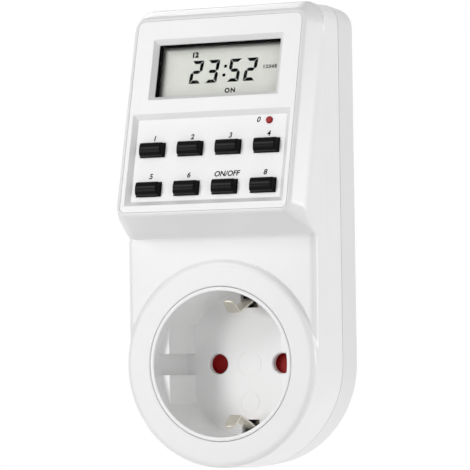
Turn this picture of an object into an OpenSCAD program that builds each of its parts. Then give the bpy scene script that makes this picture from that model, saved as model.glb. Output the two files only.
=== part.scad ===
// Plug-in timer switch: a digital timer in a two-part casing, with an earthed
// socket in front and an earthed plug behind. Sizes are in millimetres.
// +Z is up, +Y points into the wall and -Y towards the user. The origin is on
// the plug's axis, in the plane of the casing's back.

/* [Casing] */
// Width of the casing at the seam between its two shells
casing_w = 56.3; // [54:0.1:68]
// Height of the casing's top above the plug's axis
casing_top = 96.8; // [96:0.1:118]
// Depth of the lower body, from the back to its front face
body_depth = 28.8; // [27:0.1:33]
// Depth of the rear shell, from the back to the seam
seam_depth = 12.5; // [10.5:0.1:15]
// Wall of both shells
wall = 2; // [1.6:0.1:2.4]
// Radius of the two upper corners, seen from the front
corner_r = 6; // [4:0.5:10]
// How far each side comes in between the seam and the front edge
front_draft = 0.5; // [0:0.1:1]
// How far each side comes in between the seam and the rear edge
rear_draft = 0.45; // [0:0.05:1]
// Radius of the lower body's front edge
front_edge_r = 1.5; // [0.5:0.1:2]
// Radius of the rear edge
rear_edge_r = 2; // [0.5:0.1:3]
// Bevel on both shells' edges that makes the fine groove at the seam
seam_bevel = 0.25; // [0:0.05:0.5]

/* [Head] */
// Tilt of the display and keypad face from upright
face_tilt = 14.3; // [8:0.1:18]
// Width of the face
face_w = 50.4; // [48:0.1:52]
// Length of the face along its slope
face_h = 56; // [54:0.1:57]
// Corner radius of the face
face_corner_r = 2.5; // [1:0.1:4]
// Height of the face's lower edge above the plug's axis
face_low_z = 39.75; // [38:0.05:42]
// Depth of the face's lower edge from the casing's back
face_low_depth = 40.5; // [39:0.1:44]
// Width of the head behind its bevels
head_w = 55.6; // [54:0.1:56]
// Depth of the side bevels at the face's upper end
bevel_top_depth = 5.9; // [4:0.1:7]
// Depth of the side bevels at the face's lower end
bevel_low_depth = 4.6; // [3:0.1:6]
// Height at which the head's underside meets the lower body
underside_z = 34.2; // [32:0.1:36]

/* [Display] */
// Width of the display's opening
window_w = 35.8; // [30:0.1:37]
// Height of the display's opening along the face
window_h = 14.8; // [12:0.1:16]
// Middle of the display's opening above the face's lower edge
window_v = 41; // [40:0.1:43]
// Width of the bevel round the opening
window_bevel = 1.2; // [0.6:0.1:1.4]
// Depth of the bevel round the opening
window_bevel_depth = 1.3; // [0.8:0.1:1.4]
// Thickness of the clear window
window_t = 0.8; // [0.6:0.1:1]
// Thickness of the foam gasket between the window and the display glass
gasket_t = 1.5; // [1:0.1:1.8]
// Thickness of the display glass
glass_t = 1.6; // [1.2:0.1:2]
// How far window, gasket and glass reach under the opening's edge
window_lap = 1.5; // [1:0.1:1.8]

/* [Keys] */
// Number of columns of keys
key_columns = 4; // [4]
// Distance between columns
key_pitch_u = 11.14; // [10:0.01:11.3]
// Distance between rows, along the face
key_pitch_v = 11; // [9:0.1:11]
// Middle of the lower row above the face's lower edge
key_low_v = 7.5; // [7:0.1:8]
// Width of a key at its foot
key_w = 7.16; // [6:0.01:8.2]
// Height of a key at its foot
key_h = 3.85; // [3:0.05:5]
// How far a key stands proud of the keypad's floor
key_proud = 2.3; // [1.5:0.1:3]
// How far each side of a key leans in
key_draft = 0.47; // [0:0.01:0.6]
// Gap round a key in its hole
key_gap = 0.15; // [0.1:0.01:0.3]
// Travel of a key and of the reset button
key_travel = 0.6; // [0.3:0.1:0.7]
// Width of the keypad's sunken panel
pad_w = 46.2; // [44:0.1:48]
// Height of the keypad's sunken panel along the face
pad_h = 25.7; // [25:0.1:27]
// Lower edge of the sunken panel above the face's lower edge
pad_low_v = 2.75; // [2:0.05:3]
// Depth of the sunken panel
pad_depth = 1.2; // [0.6:0.1:1.4]
// Width of the bevel round the sunken panel
pad_bevel = 1.35; // [0.5:0.05:1.6]
// Radius of the reset button
reset_r = 0.95; // [0.8:0.05:1.5]
// Reset button's place across the face
reset_u = 16.8; // [15:0.1:18]
// Reset button's place up the face
reset_v = 25.5; // [24.5:0.1:26]

/* [Socket] */
// How far the ring round the socket stands proud of the lower body
ring_rise = 1.4; // [0.8:0.1:2.5]
// Width of the bevel on the ring's outer edge
ring_edge = 1.3; // [0.6:0.1:1.6]
// Radius of the recess that takes a plug
recess_r = 19.5; // [19.5:0.1:20]
// Depth of the recess
recess_depth = 19.7; // [17.5:0.1:20]
// Wall of the socket cup round the recess
cup_wall = 1.1; // [1:0.1:1.4]
// Thickness of the recess floor
cup_floor = 2; // [1.5:0.1:2.5]
// Distance between the flats on the two sides of the recess
flat_gap = 32.6; // [32:0.1:34]
// How far the flats start behind the ring's face
flat_setback = 3.2; // [2:0.1:5]
// Width of the channel through the middle of each flat
channel_w = 5.5; // [5:0.1:6]
// Distance between the pins, on the socket and on the plug
pin_pitch = 19; // [19]
// Radius of the socket's pin holes
pin_hole_r = 2.75; // [2.6:0.05:3]
// Width of an earth clip
clip_w = 3.4; // [3:0.1:4]
// Distance of an earth clip's root from the socket's axis
clip_root = 17.2; // [17:0.1:17.4]
// Distance of an earth clip's bend from the socket's axis
clip_bend = 13.6; // [13.5:0.1:14.5]
// Distance of the bend in front of the recess floor
clip_reach = 10; // [8:0.1:12]

/* [Plug] */
// Radius of the plug's body
plug_r = 18.4; // [18:0.1:19]
// Length of the plug's body
plug_len = 17; // [16:0.1:17.5]
// Distance between the flats on the two sides of the plug's body
plug_flat_gap = 32; // [31:0.1:32.4]
// Width of the rib left in the middle of each flat
plug_rib_w = 4.6; // [4:0.1:4.8]
// Radius of a plug pin
pin_r = 2.4; // [2.4]
// Free length of a plug pin
pin_len = 19; // [19]
// Thickness of an earth contact
earth_t = 0.6; // [0.5:0.1:0.8]
// Width of an earth contact along the plug's body
earth_w = 4.6; // [4:0.1:5]

/* [Inside] */
// Thickness of the mains board
power_board_t = 1.6; // [1:0.1:1.6]
// Thickness of the display board
display_board_t = 1.2; // [0.8:0.1:1.6]
// Depth of the display board's front behind the face
display_board_w = 8; // [7.8:0.1:8.4]
// Radius of the shutter's pads over the pin holes
shutter_pad_r = 3.3; // [3:0.1:3.6]
// How far the shutter's pads lie behind the recess floor
shutter_gap = 1; // [0.4:0.1:1.2]
// Radius of the mains wires
wire_r = 1.1; // [0.8:0.1:1.2]

/* [Hidden] */
$fn = 96;
eps = 0.01;
hull_fn = 32;

// clearances
seat_gap = 0.1;        // between a piece and the pocket that holds it
running_gap = 0.06;    // radial, round a turning or sliding pin

// colours
casing_c = "#EDEDEC";
cup_c = "#DADADA";
steel_c = "#C9C0AE";
board_c = "#2F6B45";

// casing
half_w = casing_w / 2;
ring_front = body_depth + ring_rise;
floor_depth = ring_front - recess_depth;
floor_back = floor_depth - cup_floor;
cup_r = recess_r + cup_wall;
skirt_r = cup_r + seat_gap;
skirt_t = 1.5;
seam_edge = [[0, -seam_depth - seam_bevel], [seam_bevel, -seam_depth]];
skirt_end = seam_depth + 1.5;
flange_r = skirt_r + skirt_t + 0.5;
flange_t = 1.5;
steps = [0 : 15 : 90];
front_side = [for (a = steps) [
    front_draft + front_edge_r * (1 - sin(a)),
    -body_depth + front_edge_r * (1 - cos(a))
]];
rear_side = [for (a = steps) [
    rear_draft + rear_edge_r * (1 - cos(a)),
    -rear_edge_r * (1 - sin(a))
]];

// head
head_half = head_w / 2;
face_half = face_w / 2;
head_corner_y = -face_low_depth + face_h * sin(face_tilt) + bevel_top_depth - 0.4;
head_back = -seam_depth - 2;
head_draft = front_draft * (-head_corner_y - seam_depth) / (body_depth - seam_depth);
head_drop = 0.3;       // how far the head's top corners lie below the casing's
low_corner_r = 1.2;
face_break = 0.3;      // small break of the face's own edge

// screws that join the two shells
post_r = 3.9;
front_post_r = 2.6;
screw_x = half_w - wall - post_r + 0.15;
screw_z = [22, casing_top - wall - post_r - 3.4];
screw_r = 1.4;
screw_head_r = 2.7;
screw_len = 13;
screw_seat = 6;        // depth of the head's seat from the back
post_end = 10;         // depth at which the two posts meet

// display and keypad, measured from the face
window_seat = window_bevel_depth + 0.3;
glass_front = window_seat + window_t + gasket_t;
glass_back = glass_front + glass_t;
pack_w = window_w + 2 * window_lap;
pack_h = window_h + 2 * window_lap;
frame_t = 1.4;
pad_back = pad_depth + 1.8;
key_flange_w = key_w + 1;
key_flange_h = key_h + 1.2;
key_flange_t = 1;
key_crown = 0.75;      // how far its front falls away to its two long edges
dome_h = 0.6;
dome_r = 2.2;
stem_r = 1.2;
stem_end = display_board_w - dome_h - key_travel - 0.2;
reset_stem_r = 0.8;
reset_flange_r = 1.7;
board_half = min(24, head_half - wall - 1);
board_low_v = 2.6;
board_neck_v = 45;
board_high_v = window_v + pack_h / 2 + 0.6;
board_post_u = board_half - 1.4;
board_post_v = [board_low_v + 2, board_neck_v - 2];
board_post_r = 1.6;
board_hole_r = 1;
tap_r = 0.9;
display_board_back = display_board_w + display_board_t;

// on the display board's back, as places in the face's frame
chip_at = [11, 20];
chip_r = 5.5;
chip_h = 1.8;
battery_at = [-12, 22];
battery_r = 5.8;
battery_h = 5.4;
ribbon_up = 12;        // where the ribbon cable starts
ribbon_rise = 13;      // how far up it ends
ribbon_w = 8;
ribbon_t = 0.35;       // half of its thickness

// mains board
board_front = wall + 2 + power_board_t;
board_back = board_front - power_board_t;
power_half = half_w - 6.2;
power_low_z = screw_z[0] + post_r + 1.6;
power_high_z = screw_z[1] - post_r - 1.2;
standoff_x = power_half - 3;
standoff_z = [power_low_z + 3, power_high_z - 3];
standoff_r = 2.2;
board_screw_r = 0.85;
relay_size = [29, 15.7, 12.8];
relay_up = 6;
cap_size = [17, 13.5, 8];
cap_down = 17;
can_at = [13, power_high_z - 12];
can_r = 5;
can_h = 12;
varistor_at = [14, power_low_z + 27];
varistor_r = 5;
varistor_t = 3.6;
fuse_at = [-13, power_low_z + 26];
fuse_r = 1.9;
fuse_len = 8;
lead_r = 0.35;

// socket
pin_x = pin_pitch / 2;
pivot_r = 1.5;
hub_r = 3.1;
hub_front = floor_back - 2 * seat_gap;
shutter_front = floor_back - shutter_gap;
shutter_t = 1.2;
shutter_back = shutter_front - shutter_t;
pad_ramp = shutter_gap - 0.3;   // height of the ramps that turn the shutter
shutter_arm = 4;
bridge_depth = wall + 1;
pivot_end = bridge_depth + earth_t;
spring_wire = 0.2;
spring_r = pivot_r + running_gap + 0.3 + spring_wire;
spring_turns = 3;
peg_r = 0.5;
contact_z = 3.4;       // half the width of a contact's leaves
leaf_t = 0.6;
leaf_in = 1.95;
leaf_front = shutter_back - 0.9;
leaf_flare = 0.7;
base_y = pin_len - floor_depth + 0.5;   // a mating pin ends just in front of it

// wires
wire_y = -bridge_depth - 1.3;
wire_bend = 3;
wire_hook = wire_r + 0.5;
wire_slot = 16;        // height of the wires' way out of the socket chamber
wire_out = -board_front - wire_hook - 0.6;
wire_off = leaf_in + leaf_flare + leaf_t + wire_r + seat_gap;
wire_x = [-pin_x - wire_off, pin_x, pin_x + wire_off];

// plug
plug_wall = 2;
plug_floor = 2.5;
plug_in = plug_len - plug_floor;
pin_head_t = 1.6;
pin_head_r = 3.6;
collar_r = pin_r + 0.5;   // the pin's shoulder in the plug's end wall
pin_tip = 1.6;
tail_r = 1.5;
strip_y1 = plug_len - 1.6;
slot_w = earth_w + 0.6;

// A 2D profile of [radius, y] turned about the Y axis.
module about_y(angle = 360, start = 0) {
    rotate([-90, 0, 0])
        rotate([0, 0, start])
            rotate_extrude(angle = angle)
                children();
}

// A 2D profile of [y, z] extruded along X, centred.
module along_x(width) {
    rotate([90, 0, 90])
        linear_extrude(width, center = true)
            children();
}

// A straight rod along Y.
module rod(r, y0, y1) {
    translate([0, y0, 0])
        rotate([-90, 0, 0])
            cylinder(r = r, h = y1 - y0);
}

// Places children in the face's own frame: X across, Y up the slope, Z outwards.
module on_face() {
    translate([0, -face_low_depth, face_low_z])
        rotate([90 - face_tilt, 0, 0])
            children();
}

// A box in the face's frame, centred on u, between v0 and v1 and two depths.
module face_box(w, v0, v1, d0, d1) {
    translate([-w / 2, v0, -d1])
        cube([w, v1 - v0, d1 - d0]);
}

// The casing's outline with a side profile carried round it, in two halves. side
// holds [how far in, y] from the front edge to the back, and inset moves it inwards.

// The round lower end and the straight sides up to height z.
module casing_sides(side, inset, z) {
    half = half_w - inset;
    edge = [for (p = side) [half - p[0], p[1]]];
    n = len(side) - 1;
    about_y(180)
        polygon(concat([[0, edge[0][1]]], edge, [[0, edge[n][1]]]));
    linear_extrude(z)
        polygon(concat(edge, [for (i = [n : -1 : 0]) [-edge[i][0], edge[i][1]]]));
}

// The whole outline, with its two upper corners.
module casing_form(side, inset = 0) {
    top = casing_top - inset;
    r = corner_r - inset;
    cx = half_w - inset - r;
    front = side[0][1];
    back = side[len(side) - 1][1];
    casing_sides(side, inset, top - r);
    along_x(2 * cx)
        polygon(concat([[front, top - r]], [for (p = side) [p[1], top - p[0]]], [[back, top - r]]));
    for (s = [-1, 1])
        translate([s * cx, 0, top - r])
            about_y(90, s > 0 ? -90 : 180)
                polygon(concat([[0, front]], [for (p = side) [r - p[0], p[1]]], [[0, back]]));
}

// The wedge-shaped head: the sloping face, its bevels and its underside.
module head_form(inset = 0) {
    r_top = corner_r - inset;
    side = head_half - inset;
    hull() {
        on_face()
            for (s = [-1, 1], v = [face_corner_r, face_h - face_corner_r])
                translate([
                    s * (face_half - face_corner_r - 0.7 * inset),
                    v + (v < face_h / 2 ? 0.6 : -0.6) * inset,
                    -inset - 1
                ]) {
                    cylinder(r = face_corner_r, h = 1 - face_break, $fn = hull_fn);
                    cylinder(r = face_corner_r - face_break, h = 1, $fn = hull_fn);
                }
        for (s = [-1, 1]) {
            translate([s * (side - r_top), 0, casing_top - corner_r - head_drop])
                rod(r_top, head_corner_y + inset, head_back, $fn = hull_fn);
            on_face()
                translate([
                    s * (side - low_corner_r),
                    low_corner_r + 0.8 + inset,
                    -bevel_low_depth - low_corner_r - inset
                ])
                    sphere(r = low_corner_r, $fn = hull_fn);
            translate([s * (side - low_corner_r), 0, underside_z + low_corner_r + inset])
                rod(low_corner_r, -body_depth + inset, head_back, $fn = hull_fn);
        }
    }
}

// A pocket with four bevelled sides, open at depth 0 of the face.
module bevelled_pocket(w, h, bevel, depth) {
    over = bevel / depth;
    intersection() {
        rotate([90, 0, 0])
            linear_extrude(h + 2 * over, center = true)
                polygon([
                    [-w / 2 - over, 1], [w / 2 + over, 1],
                    [w / 2 - bevel, -depth], [bevel - w / 2, -depth]
                ]);
        rotate([90, 0, 90])
            linear_extrude(w + 2 * over, center = true)
                polygon([
                    [-h / 2 - over, 1], [h / 2 + over, 1],
                    [h / 2 - bevel, -depth], [bevel - h / 2, -depth]
                ]);
    }
}

// The middle of key number i, counted from the upper left.
function key_u(i) = ((i - 1) % key_columns - (key_columns - 1) / 2) * key_pitch_u;
function key_v(i) = key_low_v + (i <= key_columns ? key_pitch_v : 0);

// The four screws that join the shells, as places in the XZ plane.
module at_screws() {
    for (s = [-1, 1], z = screw_z)
        translate([s * screw_x, 0, z])
            children();
}

module at_board_posts() {
    for (s = [-1, 1], v = board_post_v)
        translate([s * board_post_u, v, 0])
            children();
}

module at_standoffs() {
    for (s = [-1, 1], z = standoff_z)
        translate([s * standoff_x, 0, z])
            children();
}

// ---- shells ----

module ring_form() {
    r = half_w;
    about_y()
        polygon(concat(
            [
                [skirt_r - 1, -seam_depth], [skirt_r - 1, -ring_front],
                [r - ring_edge, -ring_front], [r, -ring_front + ring_edge]
            ],
            [for (p = seam_edge) [r - p[0], p[1]]]
        ));
}

module front_outside() {
    casing_sides(concat(front_side, seam_edge), 0, underside_z + 1);
    casing_form(concat([[head_draft, head_corner_y]], seam_edge));
    head_form();
    ring_form();
}

module front_inside() {
    casing_sides([[front_draft, -body_depth + wall], [0, -seam_depth + eps]],
        wall, underside_z + 3);
    casing_form([[head_draft, head_corner_y + wall], [0, -seam_depth + eps]], wall);
    head_form(wall);
    about_y()
        polygon([
            [skirt_r + skirt_t, -ring_front + wall],
            [half_w - ring_edge - 0.4 * wall, -ring_front + wall],
            [half_w - wall, -body_depth + wall],
            [half_w - wall, -seam_depth + eps],
            [skirt_r + skirt_t, -seam_depth + eps]
        ]);
}

module front_casing() {
    color(casing_c)
    difference() {
        union() {
            difference() {
                front_outside();
                front_inside();
            }
            about_y()
                polygon([
                    [skirt_r - 1, -ring_front + 1], [skirt_r + skirt_t, -ring_front + 1],
                    [skirt_r + skirt_t, -skirt_end], [skirt_r - 1, -skirt_end]
                ]);
            intersection() {
                front_outside();
                union() {
                    on_face() {
                        face_box(pack_w + 2 * frame_t, window_v - pack_h / 2 - frame_t,
                            window_v + pack_h / 2 + frame_t, 1.2, glass_back);
                        face_box(pad_w, pad_low_v, pad_low_v + pad_h, 1.2, pad_back);
                        at_board_posts()
                            translate([0, 0, -display_board_w])
                                cylinder(r = board_post_r, h = display_board_w - 1);
                    }
                    at_screws()
                        rod(front_post_r, -face_low_depth, -post_end);
                }
            }
        }
        rod(skirt_r, -ring_front - 1, 0);
        on_face() {
            translate([0, window_v, 0])
                bevelled_pocket(window_w + 2 * window_bevel, window_h + 2 * window_bevel,
                    window_bevel, window_bevel_depth);
            face_box(window_w, window_v - window_h / 2, window_v + window_h / 2,
                window_bevel_depth - eps, glass_back + 1);
            face_box(pack_w + 2 * seat_gap, window_v - pack_h / 2 - seat_gap,
                window_v + pack_h / 2 + seat_gap, window_seat, glass_back + 1);
            translate([0, pad_low_v + pad_h / 2, 0])
                bevelled_pocket(pad_w, pad_h, pad_bevel, pad_depth);
            for (i = [1 : 2 * key_columns])
                translate([key_u(i), key_v(i), 0])
                    face_box(key_w + 2 * key_gap, -key_h / 2 - key_gap,
                        key_h / 2 + key_gap, pad_depth - eps, pad_back + 1);
            translate([reset_u, reset_v, -pad_back - 1])
                cylinder(r = reset_r + running_gap, h = pad_back + 1);
            at_board_posts()
                translate([0, 0, -display_board_w - 1])
                    cylinder(r = tap_r, h = 5);
        }
        at_screws()
            rod(screw_r + seat_gap / 2, -screw_seat - screw_len - 1, 0);
    }
}

module rear_casing() {
    color(casing_c)
    difference() {
        union() {
            difference() {
                casing_form(concat(
                    [[seam_bevel, -seam_depth], [0, -seam_depth + seam_bevel]],
                    rear_side
                ));
                casing_form([[0, -seam_depth - 1], [0, -seam_depth], [rear_draft, -wall]],
                    inset = wall);
            }
            rod(plug_r, -wall, plug_len);
            about_y()
                polygon([
                    [flange_r - 1.5, -wall], [flange_r, -wall],
                    [flange_r, -skirt_end + flange_t], [flange_r - 1.5, -skirt_end + flange_t]
                ]);
            at_screws()
                rod(post_r, -post_end, -wall + 1);
            at_standoffs()
                rod(standoff_r, -board_back, -wall + 1);
        }
        // the plug's hollow body
        intersection() {
            rod(plug_r - plug_wall, -wall - 1, plug_in);
            cube([plug_flat_gap - 2 * plug_wall, 4 * plug_len, 4 * plug_r], center = true);
        }
        // the flats on its two sides, each with its rib
        for (s = [-1, 1], t = [-1, 1])
            translate([
                s * (plug_flat_gap / 2 + plug_r),
                flat_setback + plug_len / 2,
                t * (plug_rib_w / 2 + plug_r)
            ])
                cube([2 * plug_r, plug_len, 2 * plug_r], center = true);
        // grooves for the earth contacts, and their way through the back
        for (s = [-1, 1]) {
            translate([0, (plug_len + 1) / 2, s * (clip_root - seat_gap / 2 + 5)])
                cube([slot_w, plug_len + 1, 10], center = true);
            translate([0, -wall / 2, s * (clip_root + earth_t / 2)])
                cube([slot_w, wall + 1, earth_t + seat_gap], center = true);
            translate([0, strip_y1 - earth_t / 2, s * (clip_root - 0.8)])
                cube([slot_w, earth_t + seat_gap, 2], center = true);
        }
        for (s = [-1, 1])
            translate([s * pin_x, 0, 0])
                rod(collar_r + seat_gap / 2, plug_in - 1, plug_len + 1);
        at_screws() {
            rod(screw_head_r + 0.3, -screw_seat, 1);
            rod(screw_r + 2 * seat_gap, -post_end - 1, 0);
        }
        at_standoffs()
            rod(tap_r, -board_back - 1, -wall + 0.8);
        // the wires' way out of the socket chamber
        for (x = wire_x)
            translate([x, -skirt_end + flange_t, flange_r - 6])
                cube([2 * wire_r + 1, 2 * (skirt_end - flange_t - wall), wire_slot], center = true);
    }
}

// A screw with a domed head, its head at y = 0 and its shank towards -Y.
module screw(r, head_r, length) {
    about_y()
        polygon([
            [0, -length], [r * 0.5, -length], [r, -length + r], [r, 0],
            [head_r, 0], [head_r, 0.8], [head_r * 0.8, 1.5], [head_r * 0.4, 1.8], [0, 1.8]
        ]);
}

module casing_screws() {
    color("#8C8E90")
    at_screws()
        difference() {
            translate([0, -screw_seat, 0])
                screw(screw_r, screw_head_r, screw_len);
            for (a = [0, 90])
                rotate([0, a, 0])
                    translate([0, -screw_seat + 1.6, 0])
                        cube([0.8, 1.6, 3], center = true);
        }
}

// ---- display ----

module display_window() {
    color("#F4F8F8", 0.4)
    on_face()
        face_box(pack_w, window_v - pack_h / 2, window_v + pack_h / 2,
            window_seat, window_seat + window_t);
}

module display_gasket() {
    color("#151515")
    on_face()
        difference() {
            face_box(pack_w, window_v - pack_h / 2, window_v + pack_h / 2,
                window_seat + window_t, glass_front);
            face_box(window_w, window_v - window_h / 2, window_v + window_h / 2,
                window_seat, glass_back);
        }
}

// Two panes, the rear one longer below for the contacts.
module display_glass() {
    color("#C9CEC2")
    on_face() {
        face_box(pack_w, window_v - pack_h / 2 + 1, window_v + pack_h / 2 - 1,
            glass_front, glass_front + glass_t / 2);
        face_box(pack_w, window_v - pack_h / 2, window_v + pack_h / 2,
            glass_front + glass_t / 2, glass_back);
    }
}

module elastomer_connectors() {
    color("#3A3A3E")
    on_face()
        for (s = [-1, 1])
            translate([0, window_v + s * (pack_h / 2 - 1.1), 0])
                face_box(window_w - 4, -0.9, 0.9, glass_back, display_board_w);
}

module display_board() {
    color(board_c)
    on_face()
        difference() {
            union() {
                face_box(2 * board_half, board_low_v, board_neck_v,
                    display_board_w, display_board_back);
                face_box(pack_w - 2, board_neck_v - 1, board_high_v,
                    display_board_w, display_board_back);
            }
            at_board_posts()
                translate([0, 0, -display_board_back - 1])
                    cylinder(r = board_hole_r, h = display_board_t + 2);
        }
}

module display_board_screws() {
    color("#8C8E90")
    on_face()
        at_board_posts()
            translate([0, 0, -display_board_back])
                rotate([90, 0, 0])
                    mirror([0, 1, 0])
                        screw(board_screw_r, 1.7, 4.5);
}

module controller_chip() {
    color("#1C1C1E")
    on_face()
        translate([chip_at[0], chip_at[1], -display_board_back])
            rotate([180, 0, 0])
                rotate_extrude()
                    polygon([
                        [0, 0], [chip_r, 0], [chip_r * 0.9, chip_h * 0.45],
                        [chip_r * 0.65, chip_h * 0.8], [chip_r * 0.3, chip_h * 0.95], [0, chip_h]
                    ]);
}

module backup_battery() {
    color("#B9BBBD")
    on_face()
        translate([battery_at[0], battery_at[1], -display_board_back])
            rotate([180, 0, 0])
                rotate_extrude()
                    polygon([
                        [0, 0], [battery_r - 0.2, 0], [battery_r, 0.3],
                        [battery_r, battery_h - 1], [battery_r - 0.4, battery_h - 0.6],
                        [battery_r - 1.2, battery_h - 0.6], [battery_r - 1.4, battery_h],
                        [0, battery_h]
                    ]);
}

// ---- keys ----

// A cap with four leaning sides and a crowned front, a flange behind the
// keypad's floor, and a stem that reaches for its switch dome.
module key(i) {
    top = key_proud - pad_depth;
    color("#1A1A1B")
    on_face()
        translate([key_u(i), key_v(i), 0]) {
            intersection() {
                rotate([90, 0, 0])
                    linear_extrude(key_h + 1, center = true)
                        polygon([
                            [-key_w / 2, -pad_back - seat_gap], [key_w / 2, -pad_back - seat_gap],
                            [key_w / 2, -pad_depth], [key_w / 2 - key_draft, top],
                            [key_draft - key_w / 2, top], [-key_w / 2, -pad_depth]
                        ]);
                rotate([90, 0, 90])
                    linear_extrude(key_w + 1, center = true)
                        polygon(concat(
                            [
                                [-key_h / 2, -pad_back - seat_gap], [key_h / 2, -pad_back - seat_gap],
                                [key_h / 2, -pad_depth]
                            ],
                            [for (a = [90 : -15 : -90]) [
                                (key_h / 2 - key_draft) * sin(a),
                                top - key_crown * (1 - cos(a))
                            ]],
                            [[-key_h / 2, -pad_depth]]
                        ));
            }
            translate([0, 0, -pad_back - seat_gap - key_flange_t / 2])
                cube([key_flange_w, key_flange_h, key_flange_t], center = true);
            translate([0, 0, -stem_end])
                cylinder(r = stem_r, h = stem_end - pad_back - 0.3);
        }
}

module reset_button() {
    color("#B02020")
    on_face()
        translate([reset_u, reset_v, 0])
            rotate_extrude()
                polygon([
                    [0, -stem_end], [reset_stem_r, -stem_end],
                    [reset_stem_r, -pad_back - 0.9], [reset_flange_r, -pad_back - 0.9],
                    [reset_flange_r, -pad_back - seat_gap],
                    [reset_r, -pad_back - seat_gap], [reset_r, -pad_depth + 0.2],
                    [reset_r * 0.8, -pad_depth + 0.35], [0, -pad_depth + 0.4]
                ]);
}

// One metal dome on the board under each key and under the reset button.
module switch_domes() {
    color("#C8C8C4")
    on_face()
        for (p = concat(
            [for (i = [1 : 2 * key_columns]) [key_u(i), key_v(i)]],
            [[reset_u, reset_v]]
        ))
            translate([p[0], p[1], -display_board_w])
                cylinder(r1 = dome_r, r2 = 0.7 * dome_r, h = dome_h);
}

// ---- mains board ----

module power_board() {
    color(board_c)
    difference() {
        translate([-power_half, -board_front, power_low_z])
            cube([2 * power_half, power_board_t, power_high_z - power_low_z]);
        at_standoffs()
            rod(board_hole_r, -board_front - 1, -board_back + 1);
    }
}

module power_board_screws() {
    color("#8C8E90")
    at_standoffs()
        translate([0, -board_front, 0])
            mirror([0, 1, 0])
                screw(board_screw_r, 1.8, power_board_t + 1.6);
}

module relay() {
    color("#3F4FA8")
    translate([-relay_size[0] / 2, -board_front - relay_size[1], power_low_z + relay_up])
        difference() {
            cube(relay_size);
            translate([-1, -1, -1])
                cube([relay_size[0] + 2, 1.4, 1.4]);
        }
}

module film_capacitor() {
    color("#C9A227")
    translate([-power_half + 1, -board_front - cap_size[1], power_high_z - cap_down])
        cube(cap_size);
}

module electrolytic_capacitor() {
    color("#2B3550")
    translate([can_at[0], -board_front, can_at[1]])
        about_y()
            polygon([
                [0, 0], [can_r - 0.2, 0], [can_r, -0.4],
                [can_r, -1.6], [can_r - 0.4, -2], [can_r, -2.4],
                [can_r, 0.4 - can_h], [can_r - 0.4, -can_h], [0, -can_h]
            ]);
}

module varistor() {
    lift = varistor_r + 0.6;
    color("#2E6FB0")
    translate([varistor_at[0], -board_front - lift, varistor_at[1]]) {
        rotate([0, 90, 0])
            cylinder(r = varistor_r, h = varistor_t, center = true);
        for (z = [-2.5, 2.5])
            translate([0, 0, z])
                rod(lead_r, 0, lift);
    }
}

module fuse() {
    lift = fuse_r + 0.5;
    color("#8A8472")
    translate([fuse_at[0], -board_front - lift, fuse_at[1]]) {
        rotate([0, 90, 0])
            cylinder(r = fuse_r, h = fuse_len, center = true);
        for (x = [0.6 - fuse_len / 2, fuse_len / 2 - 0.6])
            translate([x, 0, 0])
                rod(lead_r, 0, lift);
    }
}

// A flat cable in one smooth bend from the display board to the mains board.
module ribbon_cable() {
    start = [
        -face_low_depth + ribbon_up * sin(face_tilt) + display_board_back * cos(face_tilt),
        face_low_z + ribbon_up * cos(face_tilt) - display_board_back * sin(face_tilt)
    ];
    end = [-board_front, start[1] + ribbon_rise];
    n = 16;
    path = [for (i = [0 : n]) [
        start[0] + 0.2 + (end[0] - start[0] - 0.2) * i / n,
        start[1] + (end[1] - start[1]) * (1 - cos(180 * i / n)) / 2
    ]];
    color("#8E9094")
    along_x(ribbon_w)
        polygon(concat(
            [for (p = path) [p[0], p[1] + ribbon_t]],
            [for (i = [n : -1 : 0]) [path[i][0], path[i][1] - ribbon_t]]
        ));
}

// ---- socket ----

module socket_cup() {
    color(cup_c)
    difference() {
        union() {
            about_y()
                polygon([
                    [0, -floor_back], [0, -floor_depth], [recess_r, -floor_depth],
                    [recess_r, -ring_front + 0.6], [recess_r + 0.2, -ring_front + 0.2],
                    [recess_r + 0.5, -ring_front], [cup_r, -ring_front],
                    [cup_r, -skirt_end], [flange_r, -skirt_end],
                    [flange_r, -skirt_end + flange_t], [cup_r, -skirt_end + flange_t],
                    [cup_r, -floor_back]
                ]);
            rod(pivot_r, -floor_back, -pivot_end);
            // the split flats on the two sides of the recess
            intersection() {
                rod(recess_r + 0.5, -ring_front + flat_setback, -floor_back);
                for (s = [-1, 1], t = [-1, 1])
                    translate([s * (flat_gap / 2 + 5), -floor_depth, t * (channel_w / 2 + 10)])
                        cube([10, 2 * recess_depth, 20], center = true);
            }
        }
        for (s = [-1, 1]) {
            translate([s * pin_x, 0, 0]) {
                rod(pin_hole_r, -floor_depth - 1, 0);
                about_y()
                    polygon([
                        [0, -floor_depth + 0.4], [pin_hole_r, -floor_depth + 0.4],
                        [pin_hole_r + 0.5, -floor_depth - 0.1], [0, -floor_depth - 0.1]
                    ]);
            }
            // slots for the earth clips
            translate([0, -floor_depth, s * (clip_root + earth_t / 2 - 0.5)])
                cube([earth_w + 0.6, 3 * cup_floor, earth_t + 3.2], center = true);
        }
    }
}

// One pad. Its front is a ramp, so a plug's pin pushes it aside as it goes in.
module shutter_pad() {
    r = shutter_pad_r;
    intersection() {
        rod(r, -hub_front, -shutter_back);
        along_x(2 * r + 1)
            polygon([
                [-shutter_back, -r - 1], [-shutter_back, r + 1],
                [-shutter_front, r + 1], [-shutter_front, r],
                [-shutter_front - pad_ramp, -r], [-shutter_front - pad_ramp, -r - 1]
            ]);
    }
}

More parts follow.
